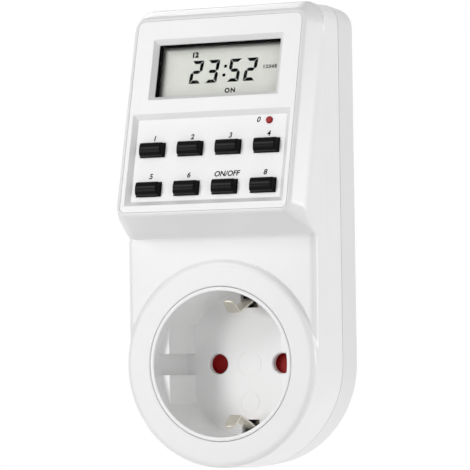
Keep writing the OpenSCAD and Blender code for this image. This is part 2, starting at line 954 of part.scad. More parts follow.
// A two-armed rotor on the cup's pivot, with a pad behind each pin hole.
module shutter() {
    color("#A01818")
    difference() {
        union() {
            rod(hub_r, -hub_front, -shutter_back);
            for (turn = [0, 180])
                rotate([0, turn, 0]) {
                    translate([pin_x, 0, 0])
                        shutter_pad();
                    translate([pin_x / 2, -shutter_front + shutter_t / 2, 0])
                        cube([pin_x, shutter_t, shutter_arm], center = true);
                }
            translate([spring_r + spring_wire + peg_r, 0, -1.4])
                rod(peg_r, -shutter_back - 1, -shutter_back + 1.2);
        }
        rod(pivot_r + running_gap, -hub_front - 1, -shutter_back + 2);
    }
}

// A torsion spring of three turns round the pivot, behind the shutter. One leg
// bears on the shutter's peg.
module shutter_spring() {
    n = spring_turns * 12;
    y0 = -shutter_back + 0.3 + spring_wire;
    rise = spring_turns * 2.3 * spring_wire;
    leg = 3.4;
    color("#B8BABC")
    tube(concat(
        [[[spring_r, y0, -leg], [1, 0, 0], [0, 1, 0]]],
        [for (i = [0 : n]) let (a = 30 * i) [
            [spring_r * cos(a), y0 + rise * i / n, spring_r * sin(a)],
            [cos(a), 0, sin(a)], [0, 1, 0]
        ]],
        [[[spring_r, y0 + rise, leg], [1, 0, 0], [0, 1, 0]]]
    ), spring_wire, 6);
}

// A solid round tube through stations of [centre, first side, second side].
module tube(stations, r, sides) {
    n = len(stations) - 1;
    polyhedron(
        points = [for (s = stations, k = [0 : sides - 1])
            s[0] + r * cos(360 * k / sides) * s[1] + r * sin(360 * k / sides) * s[2]],
        faces = concat(
            [[for (k = [0 : sides - 1]) k]],
            [for (i = [0 : n - 1], k = [0 : sides - 1])
                let (a = i * sides, b = a + sides, k2 = (k + 1) % sides)
                    [a + k, b + k, b + k2, a + k2]],
            [[for (k = [sides - 1 : -1 : 0]) n * sides + k]]
        )
    );
}

// One bent strip: plug contact, run through the back, and socket clip.
module earth_arm() {
    bend = [-floor_depth - clip_reach, clip_bend];
    tab = [bend[0] - 4.2, clip_root];
    t = earth_t;
    intersection() {
        along_x(earth_w)
            polygon([
                [strip_y1, clip_root - 1.6], [strip_y1, clip_root + t],
                [-floor_depth + 0.5, clip_root + t],
                [bend[0] + 0.6, bend[1] + 0.9], [bend[0] - 0.2, bend[1] + 0.8],
                [tab[0], tab[1] + 0.2], [tab[0] - 0.5, tab[1] - 0.2],
                [bend[0] - 0.7, bend[1] + 0.2], [bend[0] - 0.1, bend[1] - 0.1],
                [bend[0] + 0.7, bend[1] + 0.1],
                [-floor_depth + 0.7, clip_root],
                [strip_y1 - t, clip_root], [strip_y1 - t, clip_root - 1.6]
            ]);
        union() {
            translate([-earth_w / 2, -floor_back, 0])
                cube([earth_w, floor_back + strip_y1, 30]);
            translate([-clip_w / 2, tab[0] + 0.9, 0])
                cube([clip_w, -tab[0], 30]);
            translate([0, tab[0] + clip_w / 2 - 0.6, 0])
                cylinder(r = clip_w / 2, h = 30);
        }
    }
}

module earth_bracket() {
    color(steel_c) {
        for (s = [0, 1])
            mirror([0, 0, s])
                earth_arm();
        translate([-clip_w / 2, -bridge_depth - earth_t, -clip_root - eps])
            cube([clip_w, earth_t, 2 * clip_root + 2 * eps]);
    }
}

// Two sprung leaves that grip a pin, joined at their foot.
module fork() {
    out = leaf_in + leaf_t;
    leaf = [
        [leaf_in, base_y], [leaf_in + 0.6, base_y - 2], [leaf_in, -leaf_front + 2],
        [leaf_in + leaf_flare, -leaf_front], [out + leaf_flare, -leaf_front],
        [out, -leaf_front + 2],
        [out + 0.6, base_y - 2], [out + 0.3, base_y + leaf_t]
    ];
    n = len(leaf) - 1;
    translate([0, 0, -contact_z])
        linear_extrude(2 * contact_z)
            polygon(concat(leaf, [for (i = [n : -1 : 0]) [-leaf[i][0], leaf[i][1]]]));
}

module live_contact() {
    color(steel_c)
    translate([pin_x, 0, 0])
        fork();
}

// The neutral fork is riveted straight on to the neutral pin's tail.
module neutral_contact() {
    color(steel_c)
    difference() {
        translate([-pin_x, 0, 0])
            fork();
        translate([-pin_x, 0, 0])
            rod(tail_r, base_y - 1, base_y + 2);
    }
}

// A small plate under the live pin's head, for the live wire.
module live_terminal() {
    y0 = plug_in - pin_head_t - 0.8;
    color(steel_c)
    difference() {
        translate([pin_x - 3, y0, -3])
            cube([6, 0.8, 11]);
        translate([pin_x, 0, 0])
            rod(tail_r, y0 - 1, y0 + 2);
    }
}

// tail_y is where the pin's tail ends inside the plug.
module plug_pin(tail_y) {
    about_y()
        polygon([
            [0, tail_y], [tail_r, tail_y], [tail_r, plug_in - pin_head_t],
            [pin_head_r, plug_in - pin_head_t], [pin_head_r, plug_in],
            [collar_r, plug_in], [collar_r, plug_len],
            [pin_r, plug_len], [pin_r, plug_len + pin_len - pin_tip],
            [pin_r * 0.9, plug_len + pin_len - pin_tip / 2],
            [pin_r * 0.6, plug_len + pin_len - pin_tip / 8],
            [0, plug_len + pin_len]
        ]);
}

module live_pin() {
    color("#CFC8B8")
    translate([pin_x, 0, 0])
        plug_pin(plug_in - pin_head_t - 1);
}

module neutral_pin() {
    color("#CFC8B8")
    translate([-pin_x, 0, 0])
        plug_pin(base_y - 0.2);
}

// ---- wires ----

// A round wire at one x, through a list of [y, z].
module wire(x, path) {
    n = len(path) - 1;
    function way(i) = let (d = path[min(i + 1, n)] - path[max(i - 1, 0)]) d / norm(d);
    tube([for (i = [0 : n]) [
        [x, path[i][0], path[i][1]], [1, 0, 0], [0, -way(i)[1], way(i)[0]]
    ]], wire_r, 8);
}

// The last stretch of each wire, from the socket chamber on to the mains board.
to_board = concat(
    [[wire_y, power_low_z - 7], [wire_y - 0.4, power_low_z - 5.4],
     [wire_out + 0.4, power_low_z - 2.6], [wire_out, power_low_z - 1]],
    [for (a = [0 : 22.5 : 90]) [
        wire_out + wire_hook * (1 - cos(a)),
        power_low_z + 1 + wire_hook * sin(a)
    ]],
    [[-board_front, power_low_z + 1 + wire_hook]]
);

module switched_wire() {
    color("#6E4A2A")
    wire(wire_x[2], concat([[wire_y, 0.5]], to_board));
}

module neutral_wire() {
    color("#2F62B5")
    wire(wire_x[0], concat([[wire_y, 0.5]], to_board));
}

module live_wire() {
    z = contact_z + wire_r + 1.5;      // clear above the fork
    color("#6E4A2A")
    wire(wire_x[1], concat(
        [[plug_in - pin_head_t - 0.8, z]],
        [for (a = [0 : 30 : 90]) [
            wire_y + wire_bend * (1 - sin(a)),
            z + wire_bend * (1 - cos(a))
        ]],
        to_board
    ));
}

front_casing();
rear_casing();
casing_screws();
display_window();
display_gasket();
display_glass();
elastomer_connectors();
display_board();
display_board_screws();
controller_chip();
backup_battery();
key(1);  // key_1
key(2);  // key_2
key(3);  // key_3
key(4);  // key_4
key(5);  // key_5
key(6);  // key_6
key(7);  // key_7
key(8);  // key_8
reset_button();
switch_domes();
ribbon_cable();
power_board();
power_board_screws();
relay();
film_capacitor();
electrolytic_capacitor();
varistor();
fuse();
socket_cup();
shutter();
shutter_spring();
earth_bracket();
live_contact();
neutral_contact();
live_terminal();
live_pin();
neutral_pin();
live_wire();
switched_wire();
neutral_wire();
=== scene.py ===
# Plug-in timer switch: the visual model, laid over the packed frame.
# Working functions count in millimetres. Meshes are stored in metres.
import math

import bmesh
import bpy
import numpy as np
from bpy.props import FloatProperty, FloatVectorProperty, IntProperty, PointerProperty, StringProperty
from mathutils import Matrix, Vector


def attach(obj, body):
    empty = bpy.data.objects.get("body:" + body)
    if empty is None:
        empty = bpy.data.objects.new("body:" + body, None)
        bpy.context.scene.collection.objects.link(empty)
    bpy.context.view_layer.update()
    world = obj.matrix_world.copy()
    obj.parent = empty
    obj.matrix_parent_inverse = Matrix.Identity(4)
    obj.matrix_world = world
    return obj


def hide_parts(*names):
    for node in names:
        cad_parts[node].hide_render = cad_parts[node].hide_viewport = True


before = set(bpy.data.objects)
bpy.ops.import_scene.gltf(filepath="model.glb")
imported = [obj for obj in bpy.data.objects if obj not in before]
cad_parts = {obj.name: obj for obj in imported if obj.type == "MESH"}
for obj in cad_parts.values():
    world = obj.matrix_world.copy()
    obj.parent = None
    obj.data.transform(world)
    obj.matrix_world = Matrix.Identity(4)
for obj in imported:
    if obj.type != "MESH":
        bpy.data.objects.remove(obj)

bl_info = {
    "name": "Plug-in timer switch",
    "version": (1, 0, 0),
    "blender": (4, 5, 0),
    "location": "3D View > Sidebar > Timer",
    "description": "Builds the visual model of a plug-in timer switch",
    "category": "Object",
}

MM = 0.001
FLAT_ANGLE = 0.4        # faces that meet at less than this many degrees are joined to one
CREASE_ANGLE = 32       # an edge sharper than this many degrees stays crisp
RIM_REACH = 0.6         # what lies this close to the casing's outline at the seam is its outer rim

# ---- main sizes, as the frame has them ----
HALF_W = 28.14          # half of the casing's width
SEAM_Y = -12.5          # where the two shells meet
BODY_Y = -28.8          # front of the lower body
RING_Y = -30.2          # front of the socket's ring
TOP_Z = 96.79           # top of the casing
CORNER_R = 6.0          # radius of its two upper corners
FLOOR_Y = -10.5         # floor of the socket's recess
PIN_X = 9.5             # the two pins' distance from the middle
WALL = 2.0              # the shells' wall
CUP_R = 19.5            # radius of the socket's recess
HOLE_R = 2.75           # radius of the recess's two pin holes, and half the gap between its split flats
PIN_R = 2.4             # radius of the plug's pins
SLOT_HALF = 2.6         # half the width of the earth clips' slots and of the plug's earth grooves
CUT_DROP = 0.004        # a cutter's rounded edge starts this much below the surface, so that it crosses cleanly
BEYOND = 400.0          # far outside the object

# ---- the sloping face has a frame of its own: u across, v up the slope from its lower edge, w outwards ----
FACE_AT = (0.0, -40.5, 39.75)
FACE_TILT = math.radians(14.3)
UP = Vector((0, math.sin(FACE_TILT), math.cos(FACE_TILT)))
OUT = Vector((0, -math.cos(FACE_TILT), math.sin(FACE_TILT)))
WINDOW = (0.0, 41.0, 35.8, 14.8)        # middle across and up, width and height
KEYPAD = (0.0, 15.6, 46.2, 25.7)
PAD_DEPTH = 1.2         # the sunk keypad's floor below the face
GLASS_W = -3.9          # front of the display glass
LOWER_ROW, ROW_STEP, KEY_STEP = 7.5, 11.0, 11.14        # height of the lower row of keys, and the steps between keys
KEYS = [((i % 4 - 1.5) * KEY_STEP, LOWER_ROW + (ROW_STEP if i < 4 else 0.0)) for i in range(8)]
RESET = (16.8, 25.5)
DIGITS_U = (-7.5, -2.75, 3.75, 8.5)     # the digits' places across the display

# ---- screws: across and up, with half the distance between each pair ----
SCREWS = [(s * 22.4, z) for s in (-1, 1) for z in (22.0, 87.5)]
MAINS_SCREWS = [(s * 18.95, z) for s in (-1, 1) for z in (30.5, 79.4)]
DISPLAY_SCREWS = [(s * 22.6, v) for s in (-1, 1) for v in (4.6, 43)]


def linear(hex_colour):
    """The linear RGBA of an sRGB hex colour."""
    parts = [int(hex_colour[i:i + 2], 16) / 255 for i in (1, 3, 5)]
    return tuple(c / 12.92 if c <= 0.04045 else ((c + 0.055) / 1.055) ** 2.4 for c in parts) + (1.0,)


def add_node(tree, kind, inputs=None, **settings):
    """Adds one node. inputs maps a socket's name or number to a value or to another node's output."""
    node = tree.nodes.new(kind)
    for name, value in settings.items():
        setattr(node, name, value)
    for name, value in (inputs or {}).items():
        if isinstance(value, bpy.types.NodeSocket):
            tree.links.new(value, node.inputs[name])
        else:
            node.inputs[name].default_value = value
    return node


def maths(tree, operation, a, b):
    """The outcome of one sum inside a tree."""
    return add_node(tree, "ShaderNodeMath", {0: a, 1: b}, operation=operation).outputs[0]


def new_object(name, data):
    """A new object in the scene, from its mesh, curve, lamp or camera."""
    made = bpy.data.objects.new(name, data)
    bpy.context.scene.collection.objects.link(made)
    return made


def towards(azimuth, elevation):
    """The way to a place round the object, from two angles: azimuth 0 is its front, and 90 degrees its right side."""
    flat = math.cos(elevation)
    return Vector((math.sin(azimuth) * flat, -math.cos(azimuth) * flat, math.sin(elevation)))


# ---- what a user may change ----

def colour_setting(name, about, value):
    """A colour, given as hex."""
    return FloatVectorProperty(name=name, description=about, subtype="COLOR", size=4, min=0, max=1,
                               default=linear(value))


def length_setting(name, about, low, high, value):
    """A length, given in mm with its least and greatest value."""
    return FloatProperty(name=name, description=about, unit="LENGTH", min=low * MM, max=high * MM, precision=5,
                         default=value * MM)


def share_setting(name, about, low, high, value):
    """A plain number between two others."""
    return FloatProperty(name=name, description=about, subtype="FACTOR", min=low, max=high, default=value)


def power_setting(name, about, value):
    """A lamp's power in watts."""
    return FloatProperty(name=name, description=about, unit="POWER", min=0, default=value)


def angle_setting(name, about, value):
    """An angle, given in degrees."""
    return FloatProperty(name=name, description=about, subtype="ANGLE", default=math.radians(value))


class TimerShells(bpy.types.PropertyGroup):
    """The two casing shells and the socket's cup."""
    casing_colour: colour_setting("Casing colour", "Colour of the front shell", "#F0F0F0")
    # the rear shell's colour is the casing's white greyed down: painted shade
    rear_shade_colour: colour_setting("Rear colour", "Colour of the rear shell", "#E3E3E3")
    cup_colour: colour_setting("Cup colour", "Colour of the socket's cup", "#F2F2F2")
    gloss: share_setting("Roughness", "Roughness of the moulded skin", 0, 1, 0.34)
    face_edge: length_setting("Face edge", "Radius of the sloping face's outer edge", 0.3, 1.5, 0.6)
    line_width: length_setting(
        "Line width", "Half the width of the fine line inside the sloping face's edge", 0.05, 0.5, 0.2)
    line_depth: length_setting("Line depth", "Depth of that line", 0.05, 0.8, 0.3)
    seam_width: length_setting("Seam width", "Width of each shell's half of the groove at the seam", 0.05, 0.5, 0.28)
    seam_depth: length_setting("Seam depth", "Depth of the groove at the seam", 0.1, 1, 0.9)
    shell_step: length_setting("Shell step", "Grid step from which the shells' surface is drawn", 0.3, 2, 0.55)
    cup_edge: length_setting("Cup edge", "Radius of the edges in the socket's cup", 0.1, 0.4, 0.25)


class TimerFace(bpy.types.PropertyGroup):
    """The display, the keys and their marks."""
    hours: IntProperty(name="Hours", description="Hours shown on the display", min=0, max=23, default=23)
    minutes: IntProperty(name="Minutes", description="Minutes shown on the display", min=0, max=59, default=52)
    digit_height: length_setting("Digit height", "Height of the time's digits", 3, 9, 6.5)
    digit_lean: share_setting("Digit lean", "How far a digit leans over, as a share of its height", 0, 0.3, 0.1)
    glass_colour: colour_setting("Display colour", "Colour of the unlit display", "#F6F8F0")
    key_colour: colour_setting("Key colour", "Colour of the eight keys", "#030303")
    reset_colour: colour_setting("Reset colour", "Colour of the reset button", "#9A1014")
    ink_colour: colour_setting("Ink colour", "Colour of the marks above the keys", "#101012")
    mark_height: length_setting("Mark height", "Height of the marks above the keys", 0.5, 2, 1.45)
    switch_mark: StringProperty(
        name="Switch mark", description="Mark above the key that switches the socket on and off",
        default="ON/OFF")
    key_step: length_setting("Key step", "Grid step from which a key's surface is drawn", 0.1, 0.5, 0.2)


class TimerMetal(bpy.types.PropertyGroup):
    """Screws, spring, wires, pins and the earth clips."""
    recess_width: share_setting(
        "Recess width", "Width of the cross recess in a screw's head, as a share of the head", 0.1, 0.4, 0.28)
    spring_turns: IntProperty(
        name="Spring turns", description="Turns of the shutter's spring", min=1, max=5, default=3)
    wire_radius: length_setting("Wire radius", "Radius of an insulated wire", 0.8, 1.1, 1.1)
    clip_bend: length_setting("Clip bend", "Radius of the bends in the earth clips", 0.2, 2, 0.7)
    metal_colour: colour_setting("Contact colour", "Colour of the plated contacts", "#F4EFE2")


class TimerStage(bpy.types.PropertyGroup):
    """The camera and the light."""
    azimuth: angle_setting("Azimuth", "Where the camera stands, round the object from its front", 24.63)
    elevation: angle_setting("Elevation", "How high the camera stands", -2.45)
    roll: angle_setting("Roll", "The camera's turn about its own axis", -0.79)
    distance: FloatProperty(
        name="Distance", description="From the camera to the point it looks at", unit="LENGTH",
        min=0.1, default=0.83977)
    lens: FloatProperty(
        name="Lens", description="Focal length in millimetres", subtype="DISTANCE_CAMERA", min=10, default=235.64)
    high_power: power_setting("High light", "Power of the light from the upper left", 2.2)
    front_power: power_setting("Front light", "Power of the light from the left, level", 1.5)
    right_power: power_setting("Right light", "Power of the light from the front right", 0.9)
    side_power: power_setting("Side light", "Power of the light beside the object", 3.0)
    back_power: power_setting("Back light", "Power of the light behind", 2.4)
    fill: share_setting("Fill", "Strength of the light from all round", 0, 1, 0.3)


# ---- surfaces from a distance field ----

def round_max(a, b, r):
    """The deeper of two distances, with the edge between them rounded to radius r."""
    return np.minimum(np.maximum(a, b), -r) + np.hypot(np.maximum(a + r, 0), np.maximum(b + r, 0))


def round_min(a, b, r):
    """The nearer of two distances, with the corner between them filled to radius r."""
    return -round_max(-a, -b, r)


def rounded_box(x, z, half, low, high, r):
    """Distance to an upright rectangle with rounded corners in the XZ plane."""
    qx = np.abs(x) - half + r
    qz = np.abs(z - (low + high) / 2) - (high - low) / 2 + r
    return np.hypot(np.maximum(qx, 0), np.maximum(qz, 0)) + np.minimum(np.maximum(qx, qz), 0) - r


def slope(field, p, step=0.02):
    """The field's gradient at points p."""
    return np.stack([
        (field(p + step * axis) - field(p - step * axis)) / (2 * step) for axis in np.eye(3)], axis=1)


def net_surface(field, low, high, pitch):
    """Vertices and quads of the surface where field is 0, pulled on to it exactly."""
    lines = [np.arange(a, b + pitch, pitch) for a, b in zip(low, high)]
    grid = np.stack(np.meshgrid(*lines, indexing="ij"), axis=-1)
    size = grid.shape[:3]
    value = field(grid.reshape(-1, 3)).reshape(size)
    inside = value < 0
    total = np.zeros([n - 1 for n in size] + [3])
    count = np.zeros([n - 1 for n in size])
    corners = [(i, j, k) for i in (0, 1) for j in (0, 1) for k in (0, 1)]
    part = lambda a, c: a[c[0]:a.shape[0] - 1 + c[0], c[1]:a.shape[1] - 1 + c[1], c[2]:a.shape[2] - 1 + c[2]]
    for a in corners:
        for b in corners:
            if b > a and sum(abs(p - q) for p, q in zip(a, b)) == 1:
                cross = part(inside, a) != part(inside, b)
                va, vb = part(value, a)[cross], part(value, b)[cross]
                t = (va / (va - vb))[:, None]
                total[cross] += part(grid, a)[cross] * (1 - t) + part(grid, b)[cross] * t
                count[cross] += 1
    used = count > 0
    number = np.full(used.shape, -1)
    number[used] = np.arange(used.sum())
    points = total[used] / count[used][:, None]
    quads = []
    for axis in range(3):
        u, v = [(1, 2), (2, 0), (0, 1)][axis]
        a = np.moveaxis(inside, [axis, u, v], [0, 1, 2])
        n = np.moveaxis(number, [axis, u, v], [0, 1, 2])
        change = a[1:, 1:-1, 1:-1] != a[:-1, 1:-1, 1:-1]
        i, j, k = np.nonzero(change)
        quad = np.stack([n[i, j, k], n[i, j + 1, k], n[i, j + 1, k + 1], n[i, j, k + 1]], axis=1)
        turn = ~a[i, j + 1, k + 1]
        quad[turn] = quad[turn][:, ::-1]
        quads.append(quad)
    for _ in range(4):
        g = slope(field, points)
        step = field(points)[:, None] * g / np.maximum((g * g).sum(1), 0.05)[:, None]
        points = points - np.clip(step, -pitch / 2, pitch / 2)
    return points, np.concatenate(quads)


def blank_mesh(name, points, faces):
    """A mesh object from points in mm."""
    mesh = bpy.data.meshes.new(name)
    mesh.from_pydata((np.asarray(points, float) * MM).tolist(), [], [list(map(int, f)) for f in faces])
    mesh.validate()
    return new_object(name, mesh)


def outwards(piece):
    """Turns a closed piece's faces outwards."""
    work = bmesh.new()
    work.from_mesh(piece.data)
    bmesh.ops.recalc_face_normals(work, faces=work.faces)
    work.to_mesh(piece.data)
    work.free()
    return piece


def settled(piece):
    """Makes a piece's modifiers part of its mesh."""
    mesh = bpy.data.meshes.new_from_object(piece.evaluated_get(bpy.context.evaluated_depsgraph_get()))
    piece.modifiers.clear()
    old, piece.data = piece.data, mesh
    bpy.data.meshes.remove(old)
    mesh.name = piece.name
    return piece


def round_edges(piece, radius, segments):
    """Rounds each edge of a piece that is sharper than 50 degrees."""
    soft = piece.modifiers.new("rounded edges", "BEVEL")
    soft.width = radius * MM
    soft.segments = segments
    soft.limit_method = "ANGLE"
    soft.angle_limit = math.radians(50)
    return settled(piece)


def field_piece(name, field, low, high, pitch):
    """A piece whose surface is the field's, with its flat areas joined to large faces."""
    points, quads = net_surface(field, low, high, pitch)
    piece = blank_mesh(name, points, quads)
    work = bmesh.new()
    work.from_mesh(piece.data)
    bmesh.ops.dissolve_limit(work, angle_limit=math.radians(FLAT_ANGLE), use_dissolve_boundaries=False,
                             verts=work.verts, edges=work.edges)
    bmesh.ops.triangulate(work, faces=[f for f in work.faces if len(f.verts) > 4])
    work.to_mesh(piece.data)
    work.free()
    return piece


def rounded_line(points, radius, steps=4):
    """A 2D polyline with its inner corners rounded."""
    out = [points[0]]
    for a, b, c in zip(points, points[1:], points[2:]):
        a, b, c = (np.array(p, float) for p in (a, b, c))
        u, v = (a - b) / np.linalg.norm(a - b), (c - b) / np.linalg.norm(c - b)
        half = math.acos(max(-1.0, min(1.0, float(u @ v)))) / 2
        if half > math.radians(88):
            out.append(tuple(b))
            continue
        reach = min(radius / math.tan(half), 0.45 * min(np.linalg.norm(a - b), np.linalg.norm(c - b)))
        r = reach * math.tan(half)
        centre = b + (u + v) / np.linalg.norm(u + v) * (r / math.sin(half))
        p, q = b + u * reach - centre, b + v * reach - centre
        turn = math.pi - 2 * half
        sign = 1 if p[0] * q[1] - p[1] * q[0] > 0 else -1
        for i in range(steps + 1):
            t = sign * turn * i / steps
            out.append((centre[0] + p[0] * math.cos(t) - p[1] * math.sin(t),
                        centre[1] + p[0] * math.sin(t) + p[1] * math.cos(t)))
    return out + [points[-1]]


def lathe(name, profile, sides=192, at=(0.0, 0.0)):
    """A closed solid of revolution about the Y direction through at. profile holds [radius, y], and begins and ends
    on the axis."""
    points, rings = [], []
    for r, y in profile:
        if r < 1e-6:
            rings.append([len(points)] * sides)
            points.append((at[0], y, at[1]))
        else:
            rings.append(list(range(len(points), len(points) + sides)))
            points += [(at[0] + r * math.cos(2 * math.pi * (k + 0.5) / sides), y,
                        at[1] + r * math.sin(2 * math.pi * (k + 0.5) / sides)) for k in range(sides)]
    faces = []
    for a, b in zip(rings, rings[1:]):
        for k in range(sides):
            m = (k + 1) % sides
            loop = [a[k], a[m], b[m], b[k]]
            loop = [p for i, p in enumerate(loop) if p != loop[i - 1]]
            if len(loop) > 2:
                faces.append(loop)
    return outwards(blank_mesh(name, points, faces))


def hoop(name, profile, sides=64, at=(0.0, 0.0)):
    """A closed ring about the Y direction through at, from a closed profile of [radius, y]."""
    n = len(profile)
    points = [(at[0] + r * math.cos(2 * math.pi * k / sides), y, at[1] + r * math.sin(2 * math.pi * k / sides))
              for k in range(sides) for r, y in profile]
    faces = [(k * n + i, k * n + (i + 1) % n, (k + 1) % sides * n + (i + 1) % n, (k + 1) % sides * n + i)
             for k in range(sides) for i in range(n)]
    return outwards(blank_mesh(name, points, faces))


def chain(points):
    """The edges that join points one after another."""
    return [(i, i + 1) for i in range(len(points) - 1)]


def on_face(u, v, w):
    """A point of the face's own frame, across, up the slope and outwards."""
    p = Vector(FACE_AT) + UP * v + OUT * w
    return (u, p.y, p.z)


def face_pocket(name, u, v, w, h, profile):
    """A closed cutter of rectangles in the face's frame. profile holds [how far out each side, height above the
    face]."""
    points, faces = [], []
    for off, high in profile:
        high -= CUT_DROP
        for su, sv in ((-1, -1), (1, -1), (1, 1), (-1, 1)):
            points.append(on_face(u + su * (w / 2 + off), v + sv * (h / 2 + off), high))
    n = len(profile)
    for i in range(n - 1):
        faces += [[4 * i + k, 4 * i + (k + 1) % 4, 4 * i + 4 + (k + 1) % 4, 4 * i + 4 + k] for k in range(4)]
    faces += [[0, 1, 2, 3], [4 * n - 4 + k for k in range(4)]]
    return outwards(blank_mesh(name, points, faces))


def carve(piece, *groups, add=False):
    """Takes each group of cutters out of a piece, or joins it to the piece. The cutters are used up. Those of one group
    don't touch one another."""
    for group in groups:
        tool = join(group, "cut")
        cut = piece.modifiers.new("cut", "BOOLEAN")
        cut.operation = "UNION" if add else "DIFFERENCE"
        cut.solver = "EXACT"
        cut.object = tool
        settled(piece)
        mesh = tool.data
        bpy.data.objects.remove(tool)
        bpy.data.meshes.remove(mesh)
    close_slivers(piece)


def close_slivers(piece):
    """Fills the hair-thin triangles that a cut can leave open along an edge."""
    work = bmesh.new()
    work.from_mesh(piece.data)
    rims = [e for e in work.edges if e.is_boundary]
    if rims:
        bmesh.ops.holes_fill(work, edges=rims, sides=4)
        bmesh.ops.recalc_face_normals(work, faces=work.faces)
        work.to_mesh(piece.data)
    work.free()


def trim(piece, y, keep_front=True):
    """Cuts a shell at the seam plane, closes it, and leans its outer edge in for the groove at the seam."""
    look = bpy.context.scene.timer_shells
    side = -1 if keep_front else 1
    work = bmesh.new()
    work.from_mesh(piece.data)
    for plane in (y + side * look.seam_width / MM, y):
        last = bmesh.ops.bisect_plane(
            work, geom=work.verts[:] + work.edges[:] + work.faces[:], dist=1e-7,
            plane_co=(0, plane * MM, 0), plane_no=(0, -side, 0), clear_outer=plane == y)
    rim = [e for e in last["geom_cut"] if isinstance(e, bmesh.types.BMEdge)]
    inner = TOP_Z - CORNER_R
    for vert in {v for e in rim for v in e.verts}:
        x, z = vert.co.x / MM, vert.co.z / MM
        if casing_outline(np.array([x]), np.array([z]))[0] > -RIM_REACH:
            across = max(abs(x) - (HALF_W - CORNER_R if z > inner else 0), 0)
            way = Vector((math.copysign(across, x), 0, z if z < 0 else max(z - inner, 0)))
            vert.co -= way.normalized() * look.seam_depth
    bmesh.ops.triangle_fill(work, edges=rim, use_beauty=True)
    bmesh.ops.recalc_face_normals(work, faces=work.faces)
    work.to_mesh(piece.data)
    work.free()


def smooth_shading(piece):
    """Smooth shading that stays crisp at real edges and flat on flat faces."""
    piece.data.shade_smooth()
    piece.data.set_sharp_from_angle(angle=math.radians(CREASE_ANGLE))
    even = piece.modifiers.new("even normals", "WEIGHTED_NORMAL")
    even.keep_sharp = True


# ---- the casing's forms ----

def casing_outline(x, z):
    """Distance to the casing's outline in the XZ plane: round below, with two upper corners."""
    return np.where(z < 0, np.hypot(x, z) - HALF_W, rounded_box(x, z, HALF_W, -BEYOND, TOP_Z, CORNER_R))


def smooth_step(t):
    """0 up to t = 0, 1 from t = 1, and a soft way between them."""
    t = np.clip(t, 0, 1)
    return t * t * (3 - 2 * t)


def head_sides(p):
    """The head's sides, top and underside, without its sloping face. Each leaning plane is a point on it and its
    direction, as (x - point's x) * direction's x and so on."""
    x, y, z = np.abs(p[:, 0]), p[:, 1], p[:, 2]
    face_y = FACE_AT[1] + (z - FACE_AT[2]) * math.tan(FACE_TILT)
    bevel = (x - 25.2) * 0.9169 + (y - FACE_AT[1] - (z - FACE_AT[2]) * 0.2607) * -0.3860
    top_bevel = (y + 26.67) * -0.4110 + (z - 94.02) * 0.9116
    under = (y + 40.5) * -0.4286 + (z - 39.75) * -0.9035
    corner = (x - 24.47) * 0.695 + (y + 40.32) * -0.463 + (z - 40.46) * -0.551
    side_x, top_z, soft, blend = 27.8, 96.5, 0.7, 1.0
    sides = round_max(bevel, x - side_x, soft)
    top = round_max(top_bevel, z - top_z, soft)
    head = round_max(under, corner, blend)
    head = round_max(head, sides, blend)
    # the two upper corners widen from the face backwards, over the bevel's depth
    front_r, more_r, bevel_depth = 2.5, 3.5, 6.2
    return round_max(head, top, front_r + more_r * np.clip((y - face_y) / bevel_depth, 0, 1))


def face_line(inset, count=480):
    """A closed line on the sloping face, as far inside its edge as inset: points across and up the slope. Each is
    found on its own ray from the face's middle, by halving."""
    middle, reach, halvings = (0, 28), 60.0, 30
    angle = np.linspace(0, 2 * np.pi, count, endpoint=False)
    way = np.stack([np.cos(angle), np.sin(angle)], axis=1)
    near, far = np.zeros(count), np.full(count, reach)
    for _ in range(halvings):
        half = (near + far) / 2
        place = way * half[:, None] + middle
        outside = head_sides(np.array([on_face(u, v, 0) for u, v in place])) > -inset
        near, far = np.where(outside, near, half), np.where(outside, half, far)
    return place


def line_cutter(name, line, width, depth):
    """A closed cutter for a V-shaped groove along a closed line on the sloping face."""
    way = np.roll(line, -1, axis=0) - np.roll(line, 1, axis=0)
    side = np.stack([way[:, 1], -way[:, 0]], axis=1) / np.linalg.norm(way, axis=1)[:, None]
    points = []
    for (u, v), (su, sv) in zip(line, side):
        for off, w in ((-width, depth), (width, depth), (0, -depth)):
            points.append(on_face(u + off * su, v + off * sv, w))
    n = len(points)
    faces = [(i + k, i + (k + 1) % 3, (i + 3 + (k + 1) % 3) % n, (i + 3 + k) % n)
             for i in range(0, n, 3) for k in range(3)]
    return outwards(blank_mesh(name, points, faces))


def front_form(p):
    """The front shell's outside: lower body, socket ring, upper body and the sloping head."""
    x, y, z = np.abs(p[:, 0]), p[:, 1], p[:, 2]
    draft = 0.0307 * np.clip(SEAM_Y - y, 0, None)
    side = casing_outline(x, z) + draft
    body_edge, body_top, upper_y = 1.5, 34.25, -21.2
    lower = round_max(round_max(side, BODY_Y - y, body_edge), z - body_top, 1.0)
    upper = np.maximum(side, upper_y - y)
    radius = np.hypot(x, z)
    bevel_width, bevel_edge = 1.3, 0.3
    ring_bevel = (radius - HALF_W + bevel_width + RING_Y - y) * 0.7071
    ring = round_max(round_max(radius - HALF_W + draft, RING_Y - y, 0.2), ring_bevel, bevel_edge)
    face = (y - FACE_AT[1]) * OUT.y + (z - FACE_AT[2]) * OUT.z
    head = round_max(head_sides(p), face, bpy.context.scene.timer_shells.face_edge / MM)
    # the ring's foot is sharp below, and softens over the first 8 mm above the socket's middle
    form = round_min(np.minimum(lower, upper), ring, 0.02 + 0.25 * smooth_step(z / 8))
    return round_min(form, head, 0.2)


def face_parts(p):
    """Points in the face's frame: across, up the slope, outwards."""
    y, z = p[:, 1] - FACE_AT[1], p[:, 2] - FACE_AT[2]
    return p[:, 0], y * UP.y + z * UP.z, y * OUT.y + z * OUT.z


